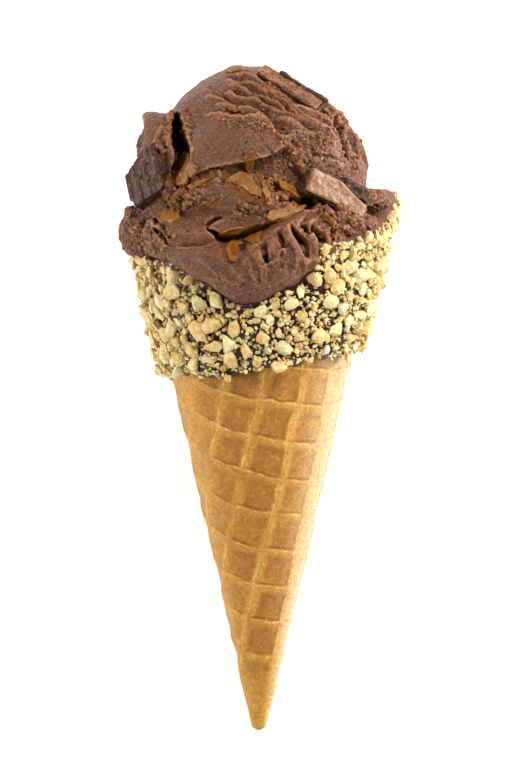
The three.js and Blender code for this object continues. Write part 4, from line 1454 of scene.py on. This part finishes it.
# %% Sizes of the waffle cone
CELL = 11.2  # pitch of the grid
CELL_U, CELL_V = 10.92, 0.21  # where the grid starts on the sheet, in pitches
SHEET_TURN = math.radians(58.3)  # where the sheet's own axis lies on the roll
POCKET = 0.6  # depth
CONE_COLUMNS = 300
FINE_ROWS = 232
HIDDEN_FROM = 127  # above this height the dip covers the wall
HIDDEN_ROWS = (0.3, 0.6, 1.0)  # of the way from there to the rim
FILLED = ((80, WALL + 0.4), (42, WALL + 1))  # heights inside, and the wall's thickness there
CORE_FLOOR = 40.0
BLUNT_TIP = ((1.0, 0.12), (1.6, 0.5))  # radii, and heights above the tip
WALL_STARTS = 1.4
GRID_STARTS = (20, 34)  # heights between which the grid grows out of the plain tip
PAINTED_HIGHLIGHT_SIDE = (26, 72)  # turns, in degrees, between which a pale painted highlight grows


def cone_profile(turns):
    """Up the outside of the wall, over the rim and down the inside to a core of ice cream."""
    rim = rim_height(turns)
    radii, heights = [np.zeros_like(turns)], [np.full_like(turns, TIP_Y)]
    for radius, height in BLUNT_TIP:
        radii.append(np.full_like(turns, radius))
        heights.append(np.full_like(turns, TIP_Y + height))
    for height in np.linspace(TIP_Y + WALL_STARTS, HIDDEN_FROM, FINE_ROWS):
        radii.append(cone_radius(height, turns))
        heights.append(np.full_like(turns, height))
    for share in HIDDEN_ROWS:
        height = HIDDEN_FROM + (rim - HIDDEN_FROM) * share
        radii.append(cone_radius(height, turns))
        heights.append(height)
    for height, thickness in ((rim, WALL), (HIDDEN_FROM - 5, WALL), *FILLED):
        radii.append(cone_radius(height, 0) - thickness + 0 * turns)
        heights.append(height + 0 * turns)
    radii.append(np.zeros_like(turns))
    heights.append(np.full_like(turns, CORE_FLOOR))
    return np.array(radii), np.array(heights)


# %% The grid on the flat sheet


def on_flat_sheet(points):
    """Where points of the cone lie on the sheet before it is rolled, in pitches of the grid."""
    turn = np.arctan2(points[:, 0], points[:, 2])
    slant = points[:, 1] / math.cos(HALF_ANGLE)
    angle = (SHEET_TURN - turn) * math.sin(HALF_ANGLE)
    return slant * np.cos(angle) / CELL - CELL_U, slant * np.sin(angle) / CELL - CELL_V


def pocket_depth(across, along):
    """How deep the grid is pressed in, from 0 on a ridge to 1 on a pocket's floor."""
    u = (across - np.floor(across)) * CELL
    v = (along - np.floor(along)) * CELL
    low_wall = smooth_step(u, 0.5, 1.7)
    high_wall = smooth_step(CELL - u, 0.2, 3.4)
    right_wall = smooth_step(v, 0.8, 2.0)
    left_wall = smooth_step(CELL - v, 0.4, 2.8)
    return low_wall * high_wall * left_wall * right_wall


def grid_strength(points):
    """How hard the plates pressed: the grid is faint left and right of the shown side."""
    turn = np.degrees(np.arctan2(points[:, 0], points[:, 2]))
    faint = np.exp(-(((turn + 58) / 24) ** 2)) + np.exp(-(((turn - 64) / 22) ** 2))
    return np.clip(1 - 0.7 * faint + 0.12 * waves(points, 20, 12), 0, 1)


# %% Roll the cone and press the grid in
waffle = rolled_grid("waffle_cone_baked", CONE_COLUMNS, cone_profile)
points, outward = points_of(waffle), normals_of(waffle)
outer = np.hypot(points[:, 0], points[:, 2]) > cone_radius(points[:, 1], 0) - 1.3
across, along = on_flat_sheet(points)
across = across + 0.07 * waves(points, 9, 2) + 0.03 * waves(points, 3, 7)
along = along + 0.07 * waves(points, 9, 8) + 0.03 * waves(points, 3, 9)
strength = grid_strength(points) * smooth_step(points[:, 1], *GRID_STARTS)
depth = pocket_depth(across, along) * strength
lift = -POCKET * depth + 0.35 * rough(points, 16, 3) + 0.08 * rough(points, 2.2, 4)
move_points(waffle, points + outward * (lift * outer)[:, None])
paint(waffle, "pocket", depth)
paint(waffle, "strength", strength)
turns = np.degrees(np.arctan2(points[:, 0], points[:, 2]))
# a painted highlight that grows over the cone's right side
paint(waffle, "pale", smooth_step(turns, *PAINTED_HIGHLIGHT_SIDE))
paint(waffle, "row", across)
paint(waffle, "column", along)
report(waffle)

# %% [markdown]
# ## Pieces of peanut butter cup
# A cup is a disc of peanut butter filling in a thin pleated chocolate shell. The scoop broke it, so
# three pieces show: on the left a piece of the pleated side, at the top a strip with the filling
# between two layers of chocolate, and on the right a piece whose filling was cut glossy. They could
# be cut out of a whole cup, but a broken piece is mostly flat walls. So each is built from blocks
# with soft edges, which are joined, remeshed to one skin and roughened.

# %% Sizes of the cup pieces
# the place of its middle, its turns about X, Y and Z, and its width, height and depth
LEFT_PIECE = ((-31.3, 176.4, 12.5), (-30, -35, 32), (13.6, 15, 8.5))
TOP_PIECE = ((9.2, 201.2, 15.6), (-48, -11, -32), (22, 7, 6))
RIGHT_PIECE = ((21.5, 172.3, 23.3), (-10, 30, -26), (22.5, 9, 8))
BROKEN_CORNER = (10.2, 5)  # how much of the left piece's top and side is gone
SHELL = 1.2  # the chocolate's thickness
print("the left, top and right piece:", LEFT_PIECE[2], TOP_PIECE[2], RIGHT_PIECE[2], "mm")

# %% Tools for the cup pieces


def turned(place, turn_degrees):
    """The matrix of a piece: turned about X, then Y, then Z, and moved to its place."""
    x, y, z = (math.radians(v) for v in turn_degrees)
    turn = Matrix.Rotation(z, 4, "Z") @ Matrix.Rotation(y, 4, "Y") @ Matrix.Rotation(x, 4, "X")
    return Matrix.Translation(place) @ turn


def slab(name, low, high, cell=0.45, soft=0.5):
    """A block between two corners, with soft edges and many small faces."""
    deselect()
    low, high = Vector(low), Vector(high)
    bpy.ops.mesh.primitive_cube_add(size=1, location=(low + high) / 2, scale=high - low)
    piece = fresh(name)
    bpy.ops.object.transform_apply()
    finish_with(piece, "BEVEL", width=soft, segments=3)
    finish_with(piece, "REMESH", mode="VOXEL", voxel_size=cell, use_smooth_shade=True)
    return piece


def roughen(piece, slow, fine, seed, chips=0.0):
    """Slow and fine unevenness, and chips broken out of the surface."""
    points, outward = points_of(piece), normals_of(piece)
    lift = slow * rough(points, 5, seed) + fine * rough(points, 1.4, seed + 3)
    lift -= chips * smooth_step(waves(points, 3.2, seed + 6), 0.35, 0.7)
    move_points(piece, points + outward * lift[:, None])


def set_in_scoop(piece, facts):
    """Turns a piece and moves it to its place."""
    piece.data.transform(turned(*facts[:2]))
    report(piece)
    return piece


# %% [markdown]
# The left piece is the pleated side of a cup, with one corner broken off. The pleats could be cut
# one by one, but torn chocolate shows them only as streaks, so noise that is drawn out along them
# makes both.

# %% Make the left piece
half = [side / 2 for side in LEFT_PIECE[2]]
left_cup = slab("left_cup", [-v for v in half], half, cell=0.29, soft=0.5)
corner = Vector((-BROKEN_CORNER[1], BROKEN_CORNER[0], 0)).normalized()
corner_place = Vector((-half[0], half[1] - BROKEN_CORNER[1], 0))
press_flat(left_cup, corner, corner.dot(corner_place))
points, outward = points_of(left_cup), normals_of(left_cup)
drawn = points * np.array([1, 0.12, 1])
facing = smooth_step(outward[:, 2], 0.3, 0.8)
streaks = 0.55 * rough(drawn, 1.6, 4) + 0.3 * waves(drawn, 0.8, 6)
lift = facing * (streaks + 0.35 * rough(points, 4, 2) + 0.25)
lift -= 0.9 * smooth_step(waves(points, 3.0, 3), 0.3, 0.6)
broken = 0.6 * rough(points, 2.6, 5, layers=4) + 0.5 * (pebbles(points, 1.4, 6) - 0.5)
lift += (1 - facing) * broken
move_points(left_cup, points + outward * lift[:, None])
set_in_scoop(left_cup, LEFT_PIECE)

# %% Shell and filling of a broken piece


def filling_of(name, facts, low, high, seed):
    filling = slab(name, low, high, cell=0.28, soft=0.7)
    roughen(filling, 0.45, 0.2, seed)
    return set_in_scoop(filling, facts)


def shell_of(name, facts, walls, seed):
    """The chocolate of a piece, from its walls."""
    shell = join(name, [slab("wall", low, high, soft=0.3) for low, high in walls])
    finish_with(shell, "REMESH", mode="VOXEL", voxel_size=0.3, use_smooth_shade=True)
    roughen(shell, 0.5, 0.3, seed, chips=0.6)
    return set_in_scoop(shell, facts)


# %% [markdown]
# The top piece lies along the edge of the dome, cut face up: a strip of filling between a far wall
# of chocolate and a near wall that only its right half still has.

# %% Make the top piece
x, y, z = (side / 2 for side in TOP_PIECE[2])
top_shell = shell_of(
    "top_piece_chocolate",
    TOP_PIECE,
    [
        ((-0.55 * x, y - SHELL - 0.4, -z), (x, y, z + 0.2)),
        ((-0.2 * x, -y, -z), (0.85 * x, 1.6 * SHELL - y, z - 0.2)),
        ((-x, -y, -z), (x, y, SHELL - z)),
        ((x - SHELL, -y, -z), (x, y, z - 0.6)),
    ],
    100,
)
inset = SHELL - 0.15
low, high = (-x, -0.8 * y, inset - z), (x - inset, y - inset, z - 0.2)
top_filling = filling_of("top_piece_filling", TOP_PIECE, low, high, 120)

# %% [markdown]
# The right piece shows the whole cut face of its filling. Its chocolate shows as a broad dull face
# at the upper right, and as a thin line elsewhere.

# %% Make the right piece
x, y, z = (side / 2 for side in RIGHT_PIECE[2])
right_shell = shell_of(
    "right_piece_chocolate",
    RIGHT_PIECE,
    [
        ((0.1 * x, y - 3.4, -z), (x, y + 0.9, z - 0.5)),
        ((-x, y - SHELL, -z), (0.2 * x, y - 0.3, z - 1.4)),
        ((-x, 0.2 - y, -z), (x, SHELL - y, z - 0.7)),
        ((-x, -y, -z), (x, y, SHELL - z)),
        ((x - SHELL, -y, -z), (x, y, z - 0.4)),
        ((-x, -y, -z), (SHELL - x, 0.6 * y, z - 0.5)),
    ],
    140,
)
low, high = (0.4 - x, inset - y, inset - z), (x - 0.4, y - inset, z)
right_filling = slab("right_piece_filling", low, high, cell=0.28, soft=0.4)
points = points_of(right_filling)
slope = smooth_step(points[:, 0], -0.2 * x, x)
points[:, 1] -= 3.2 * slope * smooth_step(points[:, 1], -y, y)
move_points(right_filling, points)
roughen(right_filling, 0.35, 0.1, 160)
set_in_scoop(right_filling, RIGHT_PIECE)

# %% [markdown]
# ## Colours and nodes
# Colours are written as a screen shows them, and one function turns them into the linear values
# that Blender's shaders want. A material could be wired by hand in the shader editor. In code one
# function adds any node with its settings and links, so that a finish reads from top to bottom.

# %% Colours


def linear(colour):
    """A hex colour as linear red, green, blue and alpha."""
    parts = [int(colour[i : i + 2], 16) / 255 for i in (1, 3, 5)]
    return [c / 12.92 if c <= 0.04045 else ((c + 0.055) / 1.055) ** 2.4 for c in parts] + [1.0]


print("middle grey is", round(linear("#808080")[0], 3), "in linear light")

# %% Add a node
TIMES = {"operation": "MULTIPLY"}
LESS = {"operation": "SUBTRACT"}


def add(tree, kind, *ordered, settings=None, output=0, **named):
    """Adds a node with its settings and links, and gives one of its outputs. What goes into it
    comes in the order of its sockets, or by name with _ for a space, and is a number, a hex
    colour, a few numbers or another node's output."""
    node = tree.nodes.new("ShaderNode" + kind)
    for name, value in (settings or {}).items():
        setattr(node, name, value)
    values = dict(enumerate(ordered))
    values.update({name.replace("_", " "): value for name, value in named.items()})
    for socket, value in values.items():
        if isinstance(value, bpy.types.NodeSocket):
            tree.links.new(value, node.inputs[socket])
        else:
            node.inputs[socket].default_value = linear(value) if isinstance(value, str) else value
    return node.outputs[output] if node.outputs else node


def new_material(name, *painted):
    """An empty material with its nodes, its place on the piece, and values painted on the piece."""
    material = bpy.data.materials.new(name)
    material.use_nodes = True
    tree = material.node_tree
    tree.nodes.clear()
    place = add(tree, "TexCoord", output="Object")
    read = [add(tree, "Attribute", settings={"attribute_name": n}, output="Fac") for n in painted]
    return material, tree, place, *read


def surface(material, **inputs):
    """Ends a material with its shader."""
    tree = material.node_tree
    add(tree, "OutputMaterial", add(tree, "BsdfPrincipled", **inputs))
    print(material.name, "has", len(tree.nodes), "nodes")


# %% Patterns and layers of colour
SOFT = {"Detail": 3, "Roughness": 0.55}  # noise with a few finer and weaker layers on it
GRITTY = {"Detail": 3, "Roughness": 0.7}  # noise whose finer layers are nearly as strong


def every(size):
    """The scale of noise whose blotches are so many millimetres wide."""
    return 1 / (size * MM)


def where_all(tree, *shares):
    """1 where all of the shares are 1, and 0 where one of them is 0."""
    whole = shares[0]
    for share in shares[1:]:
        whole = add(tree, "Math", whole, share, settings=TIMES)
    return whole


def layered(tree, colour, layers):
    """Lays colours over a colour. Each layer is a value, where that value makes it begin and
    where it makes it full, how thick it is there, and its colour."""
    for value, begins, full, thickness, over in layers:
        share = value if (begins, full) == (0, 1) else add(tree, "MapRange", value, begins, full)
        if thickness != 1:
            share = where_all(tree, share, thickness)
        colour = add(tree, "MixRGB", share, colour, over)
    return colour


# %% [markdown]
# ## Chocolate ice cream
# Ice cream is ice, fat and air: it scatters light a little below the surface, and its skin is
# moist where the spade pressed it. Cocoa makes it a greyish brown. One brown with a bump would do
# from far away. Near by the eye wants torn tips that are lighter and warmer and hollows that are
# darker, which the values that sculpting painted tell the material: the tips get a painted
# highlight and the hollows painted shade. A fine grit lies over it all.

# %% Ice cream material
ice_cream, tree, place, stand, gold, dark, pale = new_material(
    "chocolate_ice_cream", "stand", "gold", "dark", "pale"
)
blotches = add(tree, "TexNoise", place, Scale=every(7), **SOFT)
fine = add(tree, "TexNoise", place, Scale=every(0.9), Detail=4, Roughness=0.55)
grit = add(tree, "TexNoise", place, Scale=every(0.5), **GRITTY)
pits = add(tree, "MapRange", add(tree, "TexNoise", place, Scale=every(0.75), **GRITTY), 0.36, 0.5)
amber = layered(tree, "#643407", [(blotches, 0.35, 0.6, 1, "#8c541a")])
colour = layered(
    tree,
    "#70432a",
    [
        (blotches, 0.35, 0.65, 1, "#80523a"),
        (fine, 0.35, 0.7, 1, "#764830"),
        (grit, 0.5, 0.64, 0.85, "#56311d"),
        (grit, 0.48, 0.34, 0.65, "#a17357"),
        # painted shade where a point lies below the smoothed skin
        (stand, 0.5, 0.05, 1, "#3a1c0e"),
        # painted highlight on tips that stand out
        (stand, 0.55, 0.9, 0.85, "#b27a52"),
        # painted highlight on the crumbs at the dome's right and round them
        (pale, 0, 1, 0.6, "#b08a78"),
        (gold, 0, 1, 1, amber),
        # painted shade in tears, cracks, gaps and between crumbs
        (dark, 0, 1, 1, "#2a1106"),
        # painted shade in the small pits
        (pits, 0.6, 0, 0.4, "#33180c"),
    ],
)
relief = add(tree, "Bump", Height=fine, Distance=0.85 * MM, Strength=0.8)
relief = add(tree, "Bump", Height=pits, Distance=0.4 * MM, Strength=0.7, Normal=relief)
relief = add(tree, "Bump", Height=grit, Distance=0.3 * MM, Strength=0.8, Normal=relief)
surface(
    ice_cream,
    Base_Color=colour,
    Roughness=add(tree, "MapRange", blotches, 0.2, 0.8, 0.38, 0.6),
    IOR=1.4,
    Specular_IOR_Level=0.4,
    Subsurface_Weight=0.12,
    Subsurface_Radius=(1.0, 0.45, 0.25),
    Subsurface_Scale=1.2 * MM,
    Normal=relief,
)

# %% [markdown]
# A crumb is the same ice cream with air all round it, so it dries and looks lighter. It is too
# small for layers of noise to show, so each crumb takes one tone, and a few are crumbs of peanut.

# %% Crumb material
crumb_material, tree, place, tone = new_material("ice_cream_crumb", "tone")
colour = layered(
    tree, "#653c26", [(tone, 0, 0.8, 1, "#9a6843"), (tone, 0.84, 0.95, 1, "#b47c3c")]
)
grain = add(tree, "TexNoise", place, Scale=every(0.4), **SOFT)
relief = add(tree, "Bump", Height=grain, Distance=0.15 * MM, Strength=0.4)
surface(crumb_material, Base_Color=colour, Roughness=0.5, IOR=1.4, Normal=relief)

# %% [markdown]
# ## Peanut butter flakes
# Roasted peanut butter, spread thin and set: amber brown, slightly waxy, paler on its broken edges.
# A single amber would look like plastic, so broad patches and small pale crumbs are laid over it.

# %% Flake material
flake_material, tree, place = new_material("peanut_butter_flake")
blotches = add(tree, "TexNoise", place, Scale=every(2.5), **SOFT)
crumbs = add(tree, "TexNoise", place, Scale=every(0.7), **SOFT)
grain = add(tree, "TexNoise", place, Scale=every(0.6), **SOFT)
colour = layered(
    tree, "#6e4006", [(blotches, 0.3, 0.7, 1, "#8a540c"), (crumbs, 0.5, 0.75, 1, "#b07422")]
)
relief = add(tree, "Bump", Height=grain, Distance=0.3 * MM, Strength=0.6)
surface(flake_material, Base_Color=colour, Roughness=0.5, IOR=1.46, Normal=relief)

# %% [markdown]
# ## Dark chocolate
# Cocoa butter sets to a smooth, softly glossy skin, and cups come out of a mould with the same
# skin. Where the dip ran thin over the rim it is dull and lighter, partly from the thinner chocolate
# and partly as a painted highlight, and the cups have lighter grey-brown flecks. Both are one brown
# with a second laid over it, since chocolate has no grain.

# %% Dip material
dip_material, tree, place, thin = new_material("dipping_chocolate", "thin")
blotches = add(tree, "TexNoise", place, Scale=every(5), **SOFT)
runs = add(tree, "TexNoise", place, Scale=every(1.5), **SOFT)
surface(
    dip_material,
    Base_Color=layered(
        # the lighter brown near the rim is partly thinner chocolate and partly a painted highlight
        tree, "#2e140b", [(blotches, 0, 1, 1, "#42241a"), (thin, 0, 1, 1, "#67422f")]
    ),
    Roughness=add(tree, "MapRange", thin, 0, 1, 0.3, 0.55),
    IOR=1.46,
    Specular_IOR_Level=0.3,
    Normal=add(tree, "Bump", Height=runs, Distance=0.5 * MM, Strength=0.6),
)

# %% Cup material
cup_material, tree, place = new_material("moulded_chocolate")
blotches = add(tree, "TexNoise", place, Scale=every(3), **SOFT)
grey_flecks = add(tree, "TexNoise", place, Scale=every(0.8), **SOFT)
grain = add(tree, "TexNoise", place, Scale=every(0.7), **SOFT)
surface(
    cup_material,
    Base_Color=layered(
        tree, "#301a0e", [(blotches, 0.35, 0.65, 1, "#50311f"), (grey_flecks, 0.55, 0.75, 1, "#8c664e")]
    ),
    Roughness=0.5,
    IOR=1.4,
    Specular_IOR_Level=0.35,
    Normal=add(tree, "Bump", Height=grain, Distance=0.3 * MM, Strength=0.5),
)

# %% [markdown]
# ## Filling
# The filling is ground peanuts and sugar in fat. The spade that cut it left a glossy, smeared face,
# and where the cup broke it is rougher and darker. One recipe with two sets of values makes both.

# %% Filling materials


def make_filling(name, dark, light, stain, torn):
    """Peanut butter filling; torn is how rough its face was left."""
    filling, tree, place = new_material(name)
    blotches = add(tree, "TexNoise", place, Scale=every(2.2), **SOFT)
    nuts = add(tree, "TexNoise", place, Scale=every(0.8), Detail=4, Roughness=0.55)
    grain = add(tree, "TexNoise", place, Scale=every(0.8), **SOFT)
    smears = add(tree, "TexNoise", place, Scale=every(2.4), **SOFT)
    colour = layered(tree, dark, [(blotches, 0.35, 0.6, 1, light), (nuts, 0.5, 0.66, 1, stain)])
    relief = add(tree, "Bump", Height=grain, Distance=0.3 * torn * MM, Strength=0.5)
    relief = add(tree, "Bump", Height=smears, Distance=0.7 * torn * MM, Strength=0.6, Normal=relief)
    surface(filling, Base_Color=colour, Roughness=0.26, IOR=1.45, Normal=relief)
    return filling


rough_filling = make_filling("broken_filling", "#683f1e", "#885732", "#42261a", 1)
cut_filling = make_filling("cut_filling", "#845c3e", "#a07552", "#704a34", 0.4)

# %% [markdown]
# ## Chopped peanuts
# A broken peanut is pale cream inside and golden where it was roasted. Each nut could have its own
# material, but one is enough: every copy was given a tone, and a slow noise turns parts golden.

# %% Nut material
nut_material, tree, place, tone = new_material("roasted_peanut", "tone")
roast = add(tree, "TexNoise", place, Scale=every(1.8), **SOFT)
brown_flecks = add(tree, "TexNoise", place, Scale=every(0.6), **SOFT)
grain = add(tree, "TexNoise", place, Scale=every(0.9), Detail=4, Roughness=0.65)
golden = where_all(
    tree, add(tree, "MapRange", roast, 0.44, 0.58), add(tree, "MapRange", tone, 0, 0.7)
)
surface(
    nut_material,
    Base_Color=layered(
        tree,
        "#ecdeaa",
        [
            (tone, 0, 1, 1, "#e0c684"),
            (golden, 0, 1, 0.85, "#dea854"),
            (brown_flecks, 0.6, 0.8, 1, "#b08c4c"),
        ],
    ),
    Roughness=0.6,
    IOR=1.45,
    Subsurface_Weight=0.15,
    Subsurface_Radius=(1.0, 0.7, 0.3),
    Subsurface_Scale=1.0 * MM,
    Normal=add(tree, "Bump", Height=grain, Distance=0.9 * MM, Strength=0.9),
)

# %% [markdown]
# ## Baked waffle
# Batter browns most where the plates touched it, so the floors of the pockets are brown and the
# ridges golden. The surface is dry and full of tiny pores. The browning could be painted by hand,
# but it follows the grid, so the grid's own rows and columns, painted on the piece, drive it: each
# pocket gets a dark crease along its low and right walls, partly browning and partly painted
# shade, and a painted highlight on the ridge beside it. The cone's right side gets a pale painted
# highlight.

# %% Waffle patterns
waffle_material, tree, place, pocket, row, column, pressed, pale = new_material(
    "baked_waffle", "pocket", "row", "column", "strength", "pale"
)
patches = add(tree, "TexNoise", place, Scale=every(14), **SOFT)
uneven = add(tree, "TexNoise", place, Scale=every(4), **SOFT)
mottle = add(tree, "TexNoise", place, Scale=every(1.7), **SOFT)
speckle = add(tree, "TexNoise", place, Scale=every(0.8), Detail=5, Roughness=0.75)
up_cell, over_cell = (  # millimetres from the low and from the right edge of the cell
    add(tree, "Math", add(tree, "Math", line, settings={"operation": "FRACT"}), CELL, settings=TIMES)
    for line in (row, column)
)
print("a cell of the grid is", CELL, "mm")

# %% Lines along the ridges
WANDER, WANDER_MEAN = 0.35, 0.17  # how far the lines stray from straight, in millimetres
wander = where_all(tree, add(tree, "MapRange", uneven, 0.3, 0.7), WANDER)


def ridge_line(cell, middle, half_width):
    """1 on a thin line across the cell and 0 beside it."""
    moved = add(tree, "Math", cell, wander, settings=LESS)
    away = add(tree, "Math", moved, middle - WANDER_MEAN, settings=LESS)
    size = add(tree, "Math", away, settings={"operation": "ABSOLUTE"})
    return add(tree, "MapRange", size, half_width, 0)


def inside(cell, low, high):
    """1 within the cell and 0 at its edges. From the first edge it rises between low and high."""
    return where_all(
        tree, add(tree, "MapRange", cell, low, high), add(tree, "MapRange", cell, CELL, CELL - 2)
    )


depth_back = add(tree, "SeparateXYZ", place, output="Y")
height = add(tree, "MapRange", depth_back, -REST_CENTRE * MM, 0, 0, REST_CENTRE)  # up the axis
strength = where_all(tree, pressed, add(tree, "MapRange", height, 24, 32))
# partly browning and partly painted shade: a dark line along each pocket's low wall and a thinner one
# along its right wall
creased = where_all(
    tree,
    ridge_line(up_cell, 0.95, 0.6),
    inside(over_cell, 1.0, 2.2),
    add(tree, "MapRange", uneven, 0.2, 0.45),
    strength,
)
creased_side = where_all(
    tree,
    ridge_line(over_cell, 1.25, 0.2),
    inside(up_cell, 0.8, 2.2),
    add(tree, "MapRange", patches, 0.3, 0.5),
    strength,
)
# painted highlight: light lines along the ridges beside the creases
side_light = where_all(
    tree, ridge_line(over_cell, 0.45, 0.4), add(tree, "MapRange", patches, 0.3, 0.5)
)
lights = add(
    tree, "Math", ridge_line(up_cell, 0.3, 0.35), side_light, settings={"operation": "MAXIMUM"}
)
lit = where_all(tree, lights, strength, add(tree, "MapRange", uneven, 0.35, 0.65))
browned = where_all(
    tree,
    add(tree, "MapRange", pocket, 0.1, 0.85),
    add(tree, "MapRange", uneven, 0, 0.55),
    add(tree, "MapRange", patches, 0.2, 0.52),
)

# %% Waffle material
floors = layered(tree, "#93581a", [(patches, 0.35, 0.65, 1, "#a86c28")])
colour = layered(
    tree,
    "#bc842e",
    [
        (patches, 0.3, 0.7, 1, "#ce9b43"),
        (uneven, 0.5, 0.75, 0.5, "#deac48"),
        (browned, 0, 1, 0.9, floors),
        # painted highlight on the ridges
        (lit, 0, 1, 0.8, "#eecd84"),
        # painted highlight over the cone's right side
        (pale, 0, 1, 0.72, "#e1cda2"),
        # the two creases: partly browning, partly painted shade
        (creased, 0, 1, 0.9, "#74400f"),
        (creased_side, 0, 1, 0.6, "#8a5018"),
        (mottle, 0.48, 0.62, 0.3, "#9c6420"),
        (mottle, 0.46, 0.3, 0.3, "#e2b450"),
        (speckle, 0.5, 0.64, 0.6, "#8c521a"),
        (speckle, 0.44, 0.26, 0.3, "#e4b85c"),
    ],
)
relief = add(tree, "Bump", Height=speckle, Distance=0.5 * MM, Strength=0.8)
relief = add(tree, "Bump", Height=uneven, Distance=0.7 * MM, Strength=0.35, Normal=relief)
relief = add(tree, "Bump", Height=creased, Distance=-0.4 * MM, Strength=0.8, Normal=relief)
surface(
    waffle_material,
    Base_Color=colour,
    Roughness=0.7,
    IOR=1.45,
    Specular_IOR_Level=0.3,
    Subsurface_Weight=0.1,
    Subsurface_Radius=(1.0, 0.6, 0.25),
    Subsurface_Scale=1.5 * MM,
    Sheen_Weight=0.25,
    Sheen_Roughness=0.35,
    Normal=relief,
)

# %% [markdown]
# ## Lay the pieces down and hide the solids they replace
# Every piece takes its material, is laid down by the one matrix, and rides on the only body. Then
# the solid that it replaces is hidden.

# %% Lay down and hand over
FLOOR_LEVEL = 0.0


def hand_over(piece, material, node, slot):
    """Gives a piece its material and its place, and hides the solid that it replaces."""
    piece.data.materials.clear()
    piece.data.materials.append(material)
    piece.data.transform(LAID)
    points = points_of(piece)
    points[:, 2] = np.maximum(points[:, 2], FLOOR_LEVEL)
    move_points(piece, points)
    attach(piece, "root")
    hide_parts(node)


for piece in scoop_parts:
    hand_over(piece, ice_cream, "ice_cream", "ice_cream")
OTHER_PIECES = [  # piece, material, the solid that it replaces, the finish in the record
    (scoop_crumbs, crumb_material, "ice_cream", "ice_cream"),
    (flakes, flake_material, "ice_cream", "peanut_flakes"),
    (chocolate_dip, dip_material, "nut_coat", "dipping_chocolate"),
    (chopped_nuts, nut_material, "nut_coat", "chopped_nuts"),
    (nut_crumbs, nut_material, "nut_coat", "chopped_nuts"),
    (waffle, waffle_material, "waffle_cone", "waffle"),
    (left_cup, cup_material, "left_cup_piece", "cup_chocolate"),
    (top_shell, cup_material, "top_cup_shell", "cup_chocolate"),
    (top_filling, rough_filling, "top_cup_filling", "cup_filling"),
    (right_shell, cup_material, "right_cup_shell", "cup_chocolate"),
    (right_filling, cut_filling, "right_cup_filling", "cup_filling"),
]
for facts in OTHER_PIECES:
    hand_over(*facts)
print(len(scoop_parts) + len(OTHER_PIECES), "pieces laid down")

# %% [markdown]
# ## Floor and light
# A pale floor and large soft lights, as in a small studio with white walls: a main light above the
# scoop, and a bright wall on the right that makes that side of the cone pale. Point lamps would
# throw hard shadows, so each is a square wider than the cone is long. The lamps alone would leave
# the floor grey, so it also glows a little.

# %% Floor
FLOOR_SIZE = 6  # metres
FLOOR_DROP = 0.0002  # keeps it just clear of what lies on it
floor_material = new_material("pale_floor")[0]
surface(
    floor_material,
    Base_Color="#f2f2f2",
    Roughness=0.9,
    Emission_Color="#ffffff",
    Emission_Strength=0.6,
)
deselect()
bpy.ops.mesh.primitive_plane_add(size=FLOOR_SIZE, location=(0, 0, -FLOOR_DROP))
floor = fresh("floor")
floor.data.materials.append(floor_material)

# %% Lamps
LIT_PLACE = Vector((0, 0, 0.03))  # the middle of the scoop, where all lamps point
LAMPS = [  # name, place in metres, side in metres, power in watts
    ("main_light", (0.4, 0.5, 0.86), 0.3, 11.8),
    ("right_wall", (0.75, 0.1, 0.16), 0.45, 6.5),
    ("left_wall", (-0.75, -0.1, 0.14), 0.45, 5.4),
    ("tip_light", (-0.15, -0.75, 0.6), 0.45, 1.5),
]
for name, place, size, power in LAMPS:
    light = bpy.data.lights.new(name, "AREA")
    light.shape = "SQUARE"
    light.size = size
    light.energy = power
    lamp = bpy.data.objects.new(name, light)
    bpy.context.scene.collection.objects.link(lamp)
    lamp.location = place
    lamp.rotation_euler = (LIT_PLACE - Vector(place)).to_track_quat("-Z", "Y").to_euler()
    print(name, power, "W")

# %% The room's own light, stronger near the floor
world = bpy.data.worlds.new("studio")
bpy.context.scene.world = world
world.use_nodes = True
tree = world.node_tree
tree.nodes.clear()
height = add(tree, "SeparateXYZ", add(tree, "TexCoord", output="Generated"), output="Z")
strength = add(tree, "MapRange", height, 0.1, 0.8, 0.48, 0.12)
add(tree, "OutputWorld", add(tree, "Background", "#ffffff", strength))
bpy.context.scene.view_settings.view_transform = "Standard"
print(world.name, "has", len(tree.nodes), "nodes")
